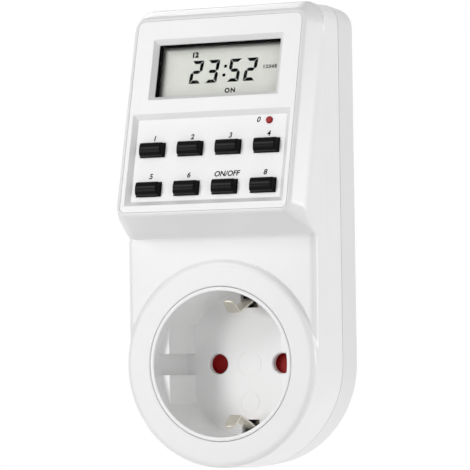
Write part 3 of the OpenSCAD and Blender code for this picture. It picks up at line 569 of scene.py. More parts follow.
def front_shell(p):
    """The front shell with its wall, the keypad's backing and the skirt round the socket."""
    form = front_form(p)
    u, v, w = face_parts(p)
    radius = np.hypot(p[:, 0], p[:, 2])
    # the plate behind the sunk keypad as [half width, half height, depth, half thickness], and the skirt's middle
    # radius, half thickness and front
    plate_w, plate_h, plate_at, plate_t = 23.1, 12.85, 2.0, 1.0
    skirt_r, skirt_t, skirt_y = 21.5, 0.8, -28.5
    plate = np.maximum(np.abs(u) - plate_w, np.abs(v - KEYPAD[1]) - plate_h)
    backing = np.maximum(plate, np.abs(w + plate_at) - plate_t)
    skirt = np.maximum(np.abs(radius - skirt_r) - skirt_t, skirt_y - p[:, 1])
    shell = np.minimum(np.maximum(form, -(form + WALL)), np.maximum(backing, form + 0.8))
    return np.minimum(shell, np.maximum(skirt, form + 0.5))


def rear_shell(p):
    """The rear shell with its wall and the hollow plug behind it."""
    x, y, z = p[:, 0], p[:, 1], p[:, 2]
    radius = np.hypot(x, z)
    plug_r, plug_y, back_edge, plug_edge, foot = 18.4, 17.0, 2.0, 1.0, 0.6
    side = casing_outline(np.abs(x), z) + 0.036 * np.clip(y - SEAM_Y, 0, None)
    shell = round_max(side, y, back_edge)
    plug = round_max(radius - plug_r, y - plug_y, plug_edge)
    form = round_min(shell, plug, foot)
    # the hollow is the shell's own, and the plug's as [radius, half width, depth]
    core_r, core_w, core_y = 16.4, 14.0, 14.5
    hollow = np.minimum(np.maximum(side + WALL, y + WALL),
                        np.maximum(np.maximum(radius - core_r, np.abs(x) - core_w), y - core_y))
    return np.maximum(form, -hollow)


def key_cap(p):
    """One key round its own middle: leaning sides, a crowned front, a flange and a stem."""
    x, y, z = np.abs(p[:, 0]), np.abs(p[:, 1]), p[:, 2]
    half_w, half_h, side_lean, end_lean, front, crown = 3.58, 1.925, 0.2, 0.12, 1.1, 0.2
    rise = np.clip(z + PAD_DEPTH, 0, None)
    cap = round_max(x - half_w + side_lean * rise, y - half_h + end_lean * rise, 0.25)
    cap = round_max(cap, z - front + crown * y * y, 0.3)
    # behind the cap, the flange that holds the key under the shell, and the stem that presses the dome
    cap = np.maximum(cap, -3.1 - z)
    flange = np.maximum(np.maximum(x - 4.08, y - 2.52), np.abs(z + 3.6) - 0.5)
    stem = np.maximum(np.hypot(x, y) - 1.2, np.abs(z + 4.8) - 1.75)
    return np.minimum(np.minimum(cap, flange), stem)


def block(name, low, high):
    """A closed box between two corners, given in any order."""
    points = [(x, y, z) for x in (low[0], high[0]) for y in (low[1], high[1]) for z in (low[2], high[2])]
    return outwards(blank_mesh(name, points, [
        (0, 1, 3, 2), (4, 6, 7, 5), (0, 4, 5, 1), (2, 3, 7, 6), (0, 2, 6, 4), (1, 5, 7, 3)]))


def prism(name, outline, y0, y1, edge):
    """A closed prism between two depths, from an outline in the XZ plane, with rounded edges."""
    n = len(outline)
    points = [(x, y, z) for y in (y0, y1) for x, z in outline]
    piece = blank_mesh(name, points, [list(range(n)), list(range(n, 2 * n))] + [
        (k, (k + 1) % n, n + (k + 1) % n, n + k) for k in range(n)])
    return round_edges(outwards(piece), edge, 3)


def join(pieces, name):
    """Joins pieces to one, as closed shells of one mesh."""
    work = bmesh.new()
    slots = []
    for piece in pieces:
        for mat in piece.data.materials:
            if mat not in slots:
                slots.append(mat)
        first = len(work.faces)
        work.from_mesh(piece.data)
        work.faces.ensure_lookup_table()
        for face in work.faces[first:]:
            if len(piece.data.materials):
                face.material_index = slots.index(piece.data.materials[face.material_index])
        old = piece.data
        bpy.data.objects.remove(piece)
        bpy.data.meshes.remove(old)
    mesh = bpy.data.meshes.new(name)
    work.to_mesh(mesh)
    work.free()
    for mat in slots:
        mesh.materials.append(mat)
    return new_object(name, mesh)


def turn_to_face(piece, u, v, w=0.0):
    """Moves a mesh whose X, Y and Z are the face's u, v and w to its place on the face."""
    origin = Vector(FACE_AT) + UP * v + OUT * w + Vector((u, 0, 0))
    place = Matrix(((1, 0, 0, 0), (0, UP.y, OUT.y, 0), (0, UP.z, OUT.z, 0), (0, 0, 0, 1)))
    piece.data.transform(Matrix.Translation(origin * MM) @ place)


def tip(piece, degrees):
    """Turns a mesh about the X direction."""
    piece.data.transform(Matrix.Rotation(math.radians(degrees), 4, "X"))


def paint(mesh, finish):
    """Gives a mesh one finish."""
    mesh.materials.clear()
    mesh.materials.append(FINISH[finish])


def dress(piece, finish, body, nodes=()):
    """Gives a finished piece its material, shading and body, and hides the nodes it stands in for."""
    if not len(piece.data.polygons):
        raise RuntimeError(piece.name + " came out empty")
    paint(piece.data, finish)
    smooth_shading(piece)
    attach(piece, body)
    if nodes:
        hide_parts(*nodes)
    return piece


# ---- finishes ----

def new_material(name):
    """An empty material and its tree, with the output node."""
    mat = bpy.data.materials.new(name)
    mat.use_nodes = True
    mat.node_tree.nodes.clear()
    return mat, mat.node_tree, add_node(mat.node_tree, "ShaderNodeOutputMaterial")


def spread(tree, pattern, low, high):
    """A noise pattern turned into numbers from low to high."""
    return add_node(tree, "ShaderNodeMapRange", {
        "Value": pattern.outputs["Fac"], "To Min": low, "To Max": high}).outputs["Result"]


def surface(tree, out, inputs):
    """Ends a material with one principled surface."""
    skin = add_node(tree, "ShaderNodeBsdfPrincipled", inputs)
    tree.links.new(skin.outputs["BSDF"], out.inputs["Surface"])


def moulded_plastic(name, colour, roughness, grain_mm, grain_depth, ior, tone):
    """A moulded plastic: the tool's fine texture, and a faint unevenness of tone and gloss."""
    mat, tree, out = new_material(name)
    at = add_node(tree, "ShaderNodeTexCoord").outputs["Object"]
    cloud = add_node(tree, "ShaderNodeTexNoise", {"Vector": at, "Scale": 90.0, "Detail": 3.0})
    shade = add_node(tree, "ShaderNodeValToRGB", {"Fac": cloud.outputs["Fac"]})
    for stop, place, part in zip(shade.color_ramp.elements, (0.3, 0.7), (1 - tone, 1 + tone)):
        stop.position = place
        stop.color = tuple(min(1.0, c * part) for c in colour[:3]) + (1.0,)
    gloss = spread(tree, cloud, roughness - 0.04, roughness + 0.04)
    grain = add_node(tree, "ShaderNodeTexNoise", {"Vector": at, "Scale": 1000 / grain_mm, "Detail": 2.0})
    bump = add_node(tree, "ShaderNodeBump", {
        "Height": grain.outputs["Fac"], "Strength": grain_depth, "Distance": 0.00005})
    surface(tree, out, {"Base Color": shade.outputs["Color"], "Roughness": gloss, "IOR": ior,
                        "Normal": bump.outputs["Normal"]})
    return mat


def plated_metal(name, colour, roughness, grain_mm):
    """A plated or drawn metal with fine drawing lines across X."""
    mat, tree, out = new_material(name)
    at = add_node(tree, "ShaderNodeTexCoord").outputs["Object"]
    stretch = add_node(tree, "ShaderNodeMapping", {"Vector": at, "Scale": (1.0, 0.12, 0.12)})
    lines = add_node(tree, "ShaderNodeTexNoise", {"Vector": stretch.outputs["Vector"], "Scale": 1000 / grain_mm})
    gloss = spread(tree, lines, roughness - 0.08, roughness + 0.08)
    bump = add_node(tree, "ShaderNodeBump", {
        "Height": lines.outputs["Fac"], "Strength": 0.15, "Distance": 0.00002})
    surface(tree, out, {"Base Color": colour, "Metallic": 1.0, "Roughness": gloss, "Normal": bump.outputs["Normal"]})
    return mat


def clear_acrylic(name):
    """Clear moulded acrylic: nearly unseen, with a faint unevenness in its clearness."""
    mat, tree, out = new_material(name)
    at = add_node(tree, "ShaderNodeTexCoord").outputs["Object"]
    haze = add_node(tree, "ShaderNodeTexNoise", {"Vector": at, "Scale": 300.0})
    surface(tree, out, {"Base Color": linear("#303432"), "Roughness": 0.04, "IOR": 1.3,
                        "Alpha": spread(tree, haze, 0.02, 0.05)})
    return mat


def display_cell(name, colour):
    """A liquid crystal cell under a matte polariser: even grey-green, with a painted shadow that darkens it inside the
    frame's left and upper edge, where the window's walls shade it."""
    mat, tree, out = new_material(name)
    at = add_node(tree, "ShaderNodeTexCoord").outputs["Object"]
    middle = Vector(on_face(WINDOW[0], WINDOW[1], GLASS_W)) * MM
    flat = add_node(tree, "ShaderNodeMapping", {
        "Vector": at, "Location": middle, "Rotation": (-FACE_TILT, 0, 0)}, vector_type="TEXTURE")
    axes = add_node(tree, "ShaderNodeSeparateXYZ", {"Vector": flat.outputs["Vector"]})
    # painted shadow: the colour darkens within 4 mm of the window's left and upper edge, standing in for the walls'
    # shade
    left = maths(tree, "ADD", axes.outputs["X"], WINDOW[2] / 2 * MM)
    above = maths(tree, "SUBTRACT", WINDOW[3] / 2 * MM, axes.outputs["Z"])
    near = maths(tree, "MINIMUM", left, above)
    reach = add_node(tree, "ShaderNodeMapRange", {"Value": near, "From Max": 4 * MM})
    painted_shadow = add_node(tree, "ShaderNodeValToRGB", {"Fac": reach.outputs["Result"]})
    ramp = painted_shadow.color_ramp
    ramp.elements.remove(ramp.elements[1])
    # how dark the painted shadow is at each distance from the edge, as a share of the cell's colour
    shadow_steps = [(0.0, 0.08), (0.1, 0.2), (0.15, 0.36), (0.3, 0.74), (0.55, 0.93), (1.0, 1.0)]
    for i, (place, part) in enumerate(shadow_steps):
        stop = ramp.elements.new(place) if i else ramp.elements[0]
        stop.color = tuple(c * part for c in colour[:3]) + (1.0,)
    grain = add_node(tree, "ShaderNodeTexNoise", {"Vector": at, "Scale": 2500.0})
    surface(tree, out, {"Base Color": painted_shadow.outputs["Color"], "Roughness": spread(tree, grain, 0.4, 0.55), "IOR": 1.3})
    return mat


def make_finishes():
    """Every finish, named for its real stuff and how its surface was made."""
    shells, face, metal = (getattr(bpy.context.scene, "timer_" + n) for n in ("shells", "face", "metal"))
    # each plastic's name, colour and roughness, its grain in mm and the grain's depth, its IOR, and how uneven its
    # tone is
    plastics = {
        # injection-moulded ABS: satin, with a fine spark-eroded texture that softens each highlight
        "white_abs": ("white moulded ABS", shells.casing_colour, shells.gloss, 0.6, 0.12, 1.5, 0.012),
        # the same white ABS, its colour greyed as painted shade for the rear shell's darker look
        "shaded_rear_abs": ("white moulded ABS greyed as painted shade", shells.rear_shade_colour, shells.gloss, 0.6, 0.12, 1.5, 0.012),
        # glass-filled polyester of a socket insert: as pale, but glossier, so its wall picks up soft reflections
        "pale_pbt": ("pale moulded PBT", shells.cup_colour, shells.gloss - 0.04, 0.8, 0.08, 1.5, 0.012),
        # black key caps from a polished tool: a soft band of light on the crown, and little shine elsewhere
        "black_abs": ("black moulded ABS", face.key_colour, 0.28, 0.5, 0.08, 1.17, 0.1),
        # dyed acetal: deep red and slightly waxy, brighter where a finger has to find it
        "red_pom": ("red moulded acetal", linear("#960E10"), 0.34, 0.6, 0.08, 1.2, 0.03),
        "reset_pom": ("bright red moulded acetal", face.reset_colour, 0.4, 0.6, 0.08, 1.3, 0.03),
        # die-cut closed-cell foam: dull black with open cut cells
        "foam": ("die-cut black foam", linear("#060606"), 0.9, 0.35, 0.05, 1.02, 0.2),
        # moulded silicone: dark and dull, with broad soft lights
        "rubber": ("moulded silicone rubber", linear("#343438"), 0.6, 0.4, 0.3, 1.5, 0.03),
        # epoxy glass board under green solder mask, with the weave just telling through
        "board": ("lacquered epoxy glass board", linear("#125326"), 0.35, 0.9, 0.25, 1.5, 0.12),
        # epoxy poured over the chip: black, with a pooled shine
        "resin": ("poured black epoxy", linear("#141416"), 0.25, 1.2, 0.15, 1.5, 0.1),
        # moulded cases of bought parts: one even colour and a low shine
        "relay_case": ("blue moulded polyester", linear("#204897"), 0.38, 0.6, 0.1, 1.5, 0.03),
        "film_case": ("yellow moulded polyester", linear("#CC9E27"), 0.38, 0.6, 0.1, 1.5, 0.03),
        # shrunk and dipped skins: tight and glossy, uneven in tone where they are thin
        "sleeve": ("shrunk dark blue PVC sleeve", linear("#212C48"), 0.3, 0.8, 0.08, 1.5, 0.08),
        "disc": ("dipped blue epoxy", linear("#246CAE"), 0.3, 1.0, 0.1, 1.5, 0.08),
        # drawn glass: pale, with sharp clean lights
        "tube": ("drawn glass tube", linear("#C0C4C0"), 0.12, 2.0, 0.02, 1.5, 0.03),
        # extruded PVC: satin, with a faint draw along it
        "grey_pvc": ("extruded grey PVC ribbon", linear("#84868A"), 0.5, 0.5, 0.2, 1.5, 0.03),
        "brown_pvc": ("extruded brown PVC", linear("#604025"), 0.45, 0.5, 0.12, 1.5, 0.08),
        "blue_pvc": ("extruded blue PVC", linear("#2E61B4"), 0.45, 0.5, 0.12, 1.5, 0.08),
        # switched liquid crystal: an even near-black with a soft edge of gloss
        "crystal": ("switched liquid crystal", linear("#070807"), 0.5, 0.5, 0.02, 1.05, 0.1),
        # pad-printed ink: flat dark grey
        "ink": ("pad-printed ink", face.ink_colour, 0.6, 0.4, 0.05, 1.12, 0.08),
    }
    # each metal's name, colour and roughness, and its drawing lines in mm
    metals = {
        # zinc over steel: bright, with a milky sheen
        "zinc": ("zinc-plated steel", linear("#A9ABAD"), 0.34, 0.15),
        # nickel over brass: warm and clear, with the tool's fine lines
        "nickel": ("nickel-plated stamped brass", metal.metal_colour, 0.24, 0.15),
        "pin": ("turned nickel-plated brass", linear("#D8CFB8"), 0.26, 0.12),
        # drawn spring wire: clean and cold
        "wire": ("drawn spring steel", linear("#B4B6B8"), 0.28, 0.1),
    }
    made = {key: moulded_plastic(*given) for key, given in plastics.items()}
    made.update({key: plated_metal(*given) for key, given in metals.items()})
    made["acrylic"] = clear_acrylic("clear moulded acrylic")
    made["cell"] = display_cell("liquid crystal cell with matte polariser", face.glass_colour)
    return made


NODE_FINISH = {
    "display_window": "acrylic", "display_gasket": "foam", "display_glass": "cell",
    "elastomer_connectors": "rubber", "display_board": "board", "controller_chip": "resin",
    "backup_battery": "zinc", "switch_domes": "wire", "ribbon_cable": "grey_pvc", "power_board": "board",
    "relay": "relay_case", "film_capacitor": "film_case", "electrolytic_capacitor": "sleeve",
    "varistor": "disc", "fuse": "tube", "live_contact": "nickel", "neutral_contact": "nickel",
    "live_terminal": "nickel",
}
FINISH = {}


# ---- geometry trees for what repeats or follows a path ----

def start_tree(name, sizes):
    """A geometry tree with named inputs. sizes maps each name to its socket kind and default."""
    tree = bpy.data.node_groups.new(name, "GeometryNodeTree")
    for way in ("INPUT", "OUTPUT"):
        tree.interface.new_socket("Geometry", in_out=way, socket_type="NodeSocketGeometry")
    for title, (kind, value) in sizes.items():
        tree.interface.new_socket(title, in_out="INPUT", socket_type=kind).default_value = value
    tree.interface.new_socket("Material", in_out="INPUT", socket_type="NodeSocketMaterial")
    return tree, add_node(tree, "NodeGroupInput").outputs


def end_tree(tree, given, geometry):
    """Closes a tree with real geometry and its material."""
    real = add_node(tree, "GeometryNodeRealizeInstances", {"Geometry": geometry})
    stuff = add_node(tree, "GeometryNodeSetMaterial", {"Geometry": real.outputs[0], "Material": given["Material"]})
    add_node(tree, "NodeGroupOutput", {"Geometry": stuff.outputs[0]})
    return tree


def vector(tree, x, y, z):
    """A vector from three numbers or sockets."""
    return add_node(tree, "ShaderNodeCombineXYZ", {"X": x, "Y": y, "Z": z}).outputs[0]


def lifted(tree, geometry, z):
    """Geometry moved along Z."""
    return add_node(tree, "GeometryNodeTransform", {
        "Geometry": geometry, "Translation": vector(tree, 0.0, 0.0, z)}).outputs[0]


def joined(tree, parts):
    """Several geometries as one."""
    both = add_node(tree, "GeometryNodeJoinGeometry")
    for part in parts:
        tree.links.new(part, both.inputs["Geometry"])
    return both.outputs[0]


def on_points(tree, points, shape, **inputs):
    """The shape on every point."""
    return add_node(tree, "GeometryNodeInstanceOnPoints", {
        "Points": points, "Instance": shape, **inputs}).outputs[0]


def screws_tree():
    """A domed cross-recess screw on every point, its head towards +Z."""
    tree, given = start_tree("domed screws", {
        "Head radius": ("NodeSocketFloat", 0.0027), "Head height": ("NodeSocketFloat", 0.0018),
        "Shank radius": ("NodeSocketFloat", 0.0014), "Shank length": ("NodeSocketFloat", 0.013),
        "Recess width": ("NodeSocketFloat", 0.28)})
    ball = add_node(tree, "GeometryNodeMeshUVSphere", {"Segments": 48, "Rings": 24, "Radius": 1.0})
    dome = add_node(tree, "GeometryNodeTransform", {
        "Geometry": ball.outputs["Mesh"],
        "Scale": vector(tree, given["Head radius"], given["Head radius"], given["Head height"])})
    wide = maths(tree, "MULTIPLY", given["Head radius"], 3.0)
    base = add_node(tree, "GeometryNodeMeshCube", {"Size": vector(tree, wide, wide, wide)}).outputs["Mesh"]
    base = lifted(tree, base, maths(tree, "MULTIPLY", wide, -0.5))
    slot = maths(tree, "MULTIPLY", given["Head radius"], given["Recess width"])
    reach = maths(tree, "MULTIPLY", given["Head radius"], 1.1)
    arms = [add_node(tree, "GeometryNodeMeshCube", {"Size": vector(tree, *size)}).outputs["Mesh"]
            for size in ((slot, reach, given["Head height"]), (reach, slot, given["Head height"]))]
    cross = lifted(tree, joined(tree, arms), given["Head height"])
    cut = add_node(tree, "GeometryNodeMeshBoolean", {
        "Mesh 1": dome.outputs[0], "Self Intersection": True}, operation="DIFFERENCE", solver="EXACT")
    for tool in (base, cross):
        tree.links.new(tool, cut.inputs["Mesh 2"])
    shank = add_node(tree, "GeometryNodeMeshCylinder", {
        "Vertices": 32, "Radius": given["Shank radius"], "Depth": given["Shank length"]}).outputs["Mesh"]
    shank = lifted(tree, shank, maths(tree, "MULTIPLY", given["Shank length"], -0.5))
    points = add_node(tree, "GeometryNodeMeshToPoints", {"Mesh": given["Geometry"]}).outputs[0]
    return end_tree(tree, given, on_points(tree, points, joined(tree, [cut.outputs[0], shank])))


def rod_tree():
    """A round rod or wire along the given edges, with its corners bent."""
    tree, given = start_tree("rod along a path", {
        "Radius": ("NodeSocketFloat", 0.001), "Bend radius": ("NodeSocketFloat", 0.001),
        "Sides": ("NodeSocketInt", 20)})
    path = add_node(tree, "GeometryNodeMeshToCurve", {"Mesh": given["Geometry"]})
    bent = add_node(tree, "GeometryNodeFilletCurve", {
        "Curve": path.outputs[0], "Radius": given["Bend radius"], "Limit Radius": True, "Count": 6}, mode="POLY")
    ring = add_node(tree, "GeometryNodeCurvePrimitiveCircle", {
        "Resolution": given["Sides"], "Radius": given["Radius"]})
    rod = add_node(tree, "GeometryNodeCurveToMesh", {
        "Curve": bent.outputs[0], "Profile Curve": ring.outputs[0], "Fill Caps": True})
    return end_tree(tree, given, rod.outputs[0])


def digits_tree():
    """Seven-segment digits: a bar on each point, turned and stretched by the point's own numbers. Each end is mitred
    where its number is 1, as at a digit's corner, and pointed where it is 0."""
    tree, given = start_tree("display digits", {
        "Bar length": ("NodeSocketFloat", 0.002), "Bar width": ("NodeSocketFloat", 0.0008),
        "Lean": ("NodeSocketFloat", 0.1), "Thickness": ("NodeSocketFloat", 0.00004)})

    def number(name):
        return add_node(tree, "GeometryNodeInputNamedAttribute", {"Name": name}, data_type="FLOAT").outputs[0]

    def position():
        return add_node(tree, "ShaderNodeSeparateXYZ", {0: add_node(tree, "GeometryNodeInputPosition").outputs[0]})

    bar = add_node(tree, "GeometryNodeMeshCube", {
        "Size": vector(tree, given["Bar length"], given["Bar width"], given["Thickness"]), "Vertices Y": 3})
    place = position()
    for name, value in (("end", maths(tree, "SIGN", place.outputs["X"], 0.0)), ("row", place.outputs["Y"])):
        bar = add_node(tree, "GeometryNodeStoreNamedAttribute", {
            "Geometry": bar.outputs[0], "Name": name, "Value": value}, data_type="FLOAT", domain="POINT")
    dot = add_node(tree, "GeometryNodeMeshCylinder", {
        "Vertices": 24, "Radius": maths(tree, "MULTIPLY", given["Bar width"], 0.5), "Depth": given["Thickness"]})
    points = add_node(tree, "GeometryNodeMeshToPoints", {"Mesh": given["Geometry"]}).outputs[0]
    bars = on_points(tree, points, bar.outputs[0], Selection=maths(tree, "LESS_THAN", number("dot"), 0.5),
                     Rotation=vector(tree, 0.0, 0.0, number("turn")), Scale=vector(tree, number("long"), 1.0, 1.0))
    dots = on_points(tree, points, dot.outputs["Mesh"], Selection=maths(tree, "GREATER_THAN", number("dot"), 0.5))
    real = add_node(tree, "GeometryNodeRealizeInstances", {"Geometry": joined(tree, [bars, dots])})

    # shape each end: along the bar by the row's own distance from the middle
    side = maths(tree, "GREATER_THAN", number("end"), 0.0)
    mitre = maths(tree, "ADD", maths(tree, "MULTIPLY", side, number("right")),
                  maths(tree, "MULTIPLY", maths(tree, "SUBTRACT", 1.0, side), number("left")))
    slant = maths(tree, "MULTIPLY", mitre, number("row"))
    point = maths(tree, "MULTIPLY", maths(tree, "SUBTRACT", 1.0, mitre), maths(tree, "ABSOLUTE", number("row"), 0.0))
    reach = maths(tree, "MULTIPLY", number("end"), maths(tree, "SUBTRACT", slant, point))
    ends = add_node(tree, "GeometryNodeSetPosition", {"Geometry": real.outputs[0], "Offset": vector(
        tree, maths(tree, "MULTIPLY", reach, maths(tree, "COSINE", number("turn"), 0.0)),
        maths(tree, "MULTIPLY", reach, maths(tree, "SINE", number("turn"), 0.0)), 0.0)})
    lean = add_node(tree, "GeometryNodeSetPosition", {
        "Geometry": ends.outputs[0],
        "Offset": vector(tree, maths(tree, "MULTIPLY", position().outputs["Y"], given["Lean"]), 0.0, 0.0)})
    return end_tree(tree, given, lean.outputs[0])


def grow(name, tree, points, edges=(), own=None, **sizes):
    """Runs a geometry tree on points in mm and keeps the outcome as a plain mesh."""
    mesh = bpy.data.meshes.new(name)
    mesh.from_pydata([tuple(c * MM for c in p) for p in points], list(edges), [])
    for title, values in (own or {}).items():
        mesh.attributes.new(title, "FLOAT", "POINT").data.foreach_set("value", values)
    piece = new_object(name, mesh)
    shape = piece.modifiers.new("shape", "NODES")
    shape.node_group = tree
    sockets = {s.name: s.identifier for s in tree.interface.items_tree if s.in_out == "INPUT"}
    for title, value in sizes.items():
        shape[sockets[title.replace("_", " ").capitalize()]] = value
    plain = settled(piece).data
    for title in [t for t in [*(own or {}), "end", "row"] if t in plain.attributes]:
        plain.attributes.remove(plain.attributes[title])
    if not len(plain.polygons):
        raise RuntimeError(name + " came out empty")
    return piece


def bent_strip(name, path, thickness, width_at, bend, break_r):
    """A bent metal strip about the YZ plane. path runs along its middle and width_at gives its width by [distance from
    the path's end, y]. Its long edges are broken by break_r."""
    line = np.array(rounded_line(path, bend, 8))
    run = np.concatenate([[0], np.cumsum(np.linalg.norm(np.diff(line, axis=0), axis=1))])
    stops = np.unique(np.concatenate([run, run[-1] - np.linspace(0, 2.4, 13)]).round(4))
    places = np.stack([np.interp(stops, run, line[:, k]) for k in (0, 1)], axis=1)
    ways = np.gradient(places, axis=0)
    ways /= np.linalg.norm(ways, axis=1)[:, None]
    points, faces = [], []
    for place, way, stop in zip(places, ways, stops):
        half = width_at(run[-1] - stop, place[0]) / 2
        side = np.array([-way[1], way[0]]) * thickness / 2
        for sx, sn in ((-1, -1), (1, -1), (1, 1), (-1, 1)):
            points.append((sx * half, place[0] + sn * side[0], place[1] + sn * side[1]))
    last = len(points) - 4
    for i in range(0, last, 4):
        faces += [(i + k, i + (k + 1) % 4, i + 4 + (k + 1) % 4, i + 4 + k) for k in range(4)]
    faces += [(3, 2, 1, 0), (last, last + 1, last + 2, last + 3)]
    return round_edges(outwards(blank_mesh(name, points, faces)), break_r, 2)


def lettering(name, text, height, u, v, lean=0.0, bold=0.0, gap=1.0):
    """Thin raised letters or numbers in the face's frame, centred on u, v. bold thickens each stroke by that much all
    round, and gap widens the letters' spacing."""
    curve = bpy.data.curves.new(name, "FONT")
    curve.body = text
    curve.align_x = "CENTER"
    curve.size = height / 0.72 * MM     # a capital is 0.72 of the font's size high
    curve.shear = lean
    curve.offset = bold * MM
    curve.space_character = gap
    curve.extrude = 0.01 * MM
    drawn = new_object(name, curve)
    mesh = bpy.data.meshes.new_from_object(drawn.evaluated_get(bpy.context.evaluated_depsgraph_get()))
    bpy.data.objects.remove(drawn)
    bpy.data.curves.remove(curve)
    mesh.transform(Matrix.Translation(Vector((u, v - height / 2, 0)) * MM))
    work = bmesh.new()
    work.from_mesh(mesh)
    bmesh.ops.remove_doubles(work, verts=work.verts, dist=0.0005 * MM)
    work.to_mesh(mesh)
    work.free()
    return outwards(new_object(name, mesh))


# ---- the operators, one for each piece or group of like pieces ----

class TIMER_OT_inner_parts(bpy.types.Operator):
    """Give every part that keeps its own form its finish"""
    bl_idname = "timer.inner_parts"
    bl_label = "Inner parts"

    def execute(self, context):
        FINISH.update(make_finishes())
        for node, finish in NODE_FINISH.items():
            paint(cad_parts[node].data, finish)
        return {"FINISHED"}


class TIMER_OT_front_shell(bpy.types.Operator):
    """Build the front shell with its head, socket ring, window and keypad"""
    bl_idname = "timer.front_shell"
    bl_label = "Front shell"

    def execute(self, context):
        look = context.scene.timer_shells
        shell = field_piece("front_shell", front_shell, (-29, -42, -29), (29, -10.5, 98), look.shell_step / MM)
        trim(shell, SEAM_Y)
        lip, soft = RING_Y + CUT_DROP, 0.3
        bore = lathe("bore", [(0, -36), (21, -36)]
                     + rounded_line([(24, lip), (20.7, lip), (20.7, -9)], soft)[1:] + [(0, -9)])
        window = face_pocket("window_cut", *WINDOW, [(1.35, 3)]
                             + rounded_line([(6, 0), (1.2, 0), (0, -1.3), (0, -9)], soft)[1:])
        u, v, w, h = KEYPAD
        bevel = 1.35
        pad = face_pocket("pad_cut", u, v, w - 2 * bevel, h - 2 * bevel, [(bevel + 0.15, 3)]
                          + rounded_line([(6, 0), (bevel, 0), (0, -PAD_DEPTH), (-3, -PAD_DEPTH)], soft)[1:-1])
        seat = face_pocket("seat_cut", *WINDOW[:2], 39, 18, [(0, -1.6), (0, -9)])
        holes = [face_pocket("key_cut", u, v, 7.46, 4.15, [(0, -1.0), (0, -6)]) for u, v in KEYS]
        reset_r = 1.01
        round_hole = lathe("reset_cut", [(0, -6), (reset_r, -6), (reset_r, 0), (0, 0)], sides=32)
        tip(round_hole, 90)
        turn_to_face(round_hole, *RESET)
        width, depth = look.line_width / MM, look.line_depth / MM
        edge_line = line_cutter("line_cut", face_line((look.face_edge + look.line_width) / MM), width, depth)
        carve(shell, [bore, window, pad, edge_line], [seat, round_hole] + holes)
        dress(shell, "white_abs", "casing", ["front_casing"])
        return {"FINISHED"}


class TIMER_OT_rear_shell(bpy.types.Operator):
    """Build the rear shell with its plug, flats, grooves and screw holes"""
    bl_idname = "timer.rear_shell"
    bl_label = "Rear shell"

    def execute(self, context):
        look = context.scene.timer_shells
        shell = field_piece("rear_shell", rear_shell, (-29, -14, -29), (29, 18, 98), look.shell_step / MM)
        trim(shell, SEAM_Y, keep_front=False)
        flat_x, flat_z, groove_z, way_z, screw_r = 16, 2.3, 17.15, 17.85, 3
        cutters, ways = [], []
        for s in (-1, 1):
            for t in (-1, 1):
                cutters.append(block("flat_cut", (s * flat_x, 3.2, t * flat_z), (s * 30, 20, t * 30)))
            cutters.append(block("groove_cut", (-SLOT_HALF, 0.01, s * groove_z), (SLOT_HALF, 18, s * 27)))
            ways.append(block("way_cut", (-SLOT_HALF, -3, s * groove_z), (SLOT_HALF, 0.5, s * way_z)))
            cutters.append(lathe("pin_cut", [(0, 12), (2.95, 12), (2.95, 18), (0, 18)], 64, at=(s * PIN_X, 0)))
        screw_side = [(0, -6), (screw_r, -6), (screw_r, -0.2), (screw_r + 0.2, -CUT_DROP), (screw_r + 0.2, 1), (0, 1)]
        cutters += [lathe("screw_cut", screw_side, 64, at=place) for place in SCREWS]
        carve(shell, cutters, ways)
        dress(shell, "shaded_rear_abs", "casing", ["rear_casing"])
        return {"FINISHED"}


class TIMER_OT_cup(bpy.types.Operator):
    """Build the socket's cup with its pin holes, clip slots and fine tool marks"""
    bl_idname = "timer.cup"
    bl_label = "Socket cup"

    def execute(self, context):
        edge = context.scene.timer_shells.cup_edge / MM
        wall_r, foot_r, foot_y, back_y = 20.6, 22.6, -12.5, -8.5
        # the floor has points of its own at 7 and 14 mm, which keep its faces even
        cup = lathe("cup_shell", rounded_line([
            (0, FLOOR_Y), (7, FLOOR_Y), (14, FLOOR_Y), (CUP_R, FLOOR_Y), (CUP_R, RING_Y), (wall_r, RING_Y),
            (wall_r, -14), (foot_r, -14), (foot_r, foot_y), (wall_r, foot_y), (wall_r, back_y), (14, back_y),
            (7, back_y), (0, back_y)], edge))
        # the split flats on the two sides of the recess run a little into its wall
        flat_x, into = 16.3, CUP_R + 0.4
        angles = np.linspace(math.asin(HOLE_R / into), math.acos(flat_x / into), 12)
        arc = [(into * math.cos(a), into * math.sin(a)) for a in angles]
        flats = [prism("flat", [(sx * x, sz * z) for x, z in [(flat_x, HOLE_R)] + arc], -27.0, -10.0, edge)
                 for sx in (-1, 1) for sz in (-1, 1)]
        carve(cup, flats, add=True)
        cutters = []
        lead, line = 3.1, 0.12
        for s in (-1, 1):
            hole = [(0, -12), (lead, -12), (lead, FLOOR_Y)]
            hole += rounded_line([(lead, FLOOR_Y), (HOLE_R, -10.2), (HOLE_R, -7)], 0.1)[1:] + [(0, -7)]
            cutters.append(lathe("hole_cut", hole, 64, at=(s * PIN_X, 0)))
            cutters.append(block("slot_cut", (-SLOT_HALF, -13.5, s * 15.2), (SLOT_HALF, -7, s * 19.2)))
        # two fine moulded rings on the floor, with nothing in them
        for r, z in ((3.4, 0.0), (2.75, -10.45)):
            ring = [(r - line, -11), (r + line, -11), (r + line, FLOOR_Y + 0.08), (r - line, FLOOR_Y + 0.08)]
            cutters.append(hoop("mark_cut", ring, 64, at=(0, z)))
        carve(cup, cutters)
        dress(cup, "pale_pbt", "casing", ["socket_cup"])
        return {"FINISHED"}


class TIMER_OT_keys(bpy.types.Operator):
    """Build one crowned key and lay it in all eight places"""
    bl_idname = "timer.keys"
    bl_label = "Keys"

    def execute(self, context):
        step = context.scene.timer_face.key_step / MM
        first = field_piece("key_cap", key_cap, (-4.5, -3, -7), (4.5, 3, 1.9), step)
        for i, place in enumerate(KEYS, 1):
            key = new_object("key_cap_%d" % i, first.data.copy())
            turn_to_face(key, *place)
            dress(key, "black_abs", "key_%d" % i, ["key_%d" % i])
        bpy.data.objects.remove(first)
        return {"FINISHED"}


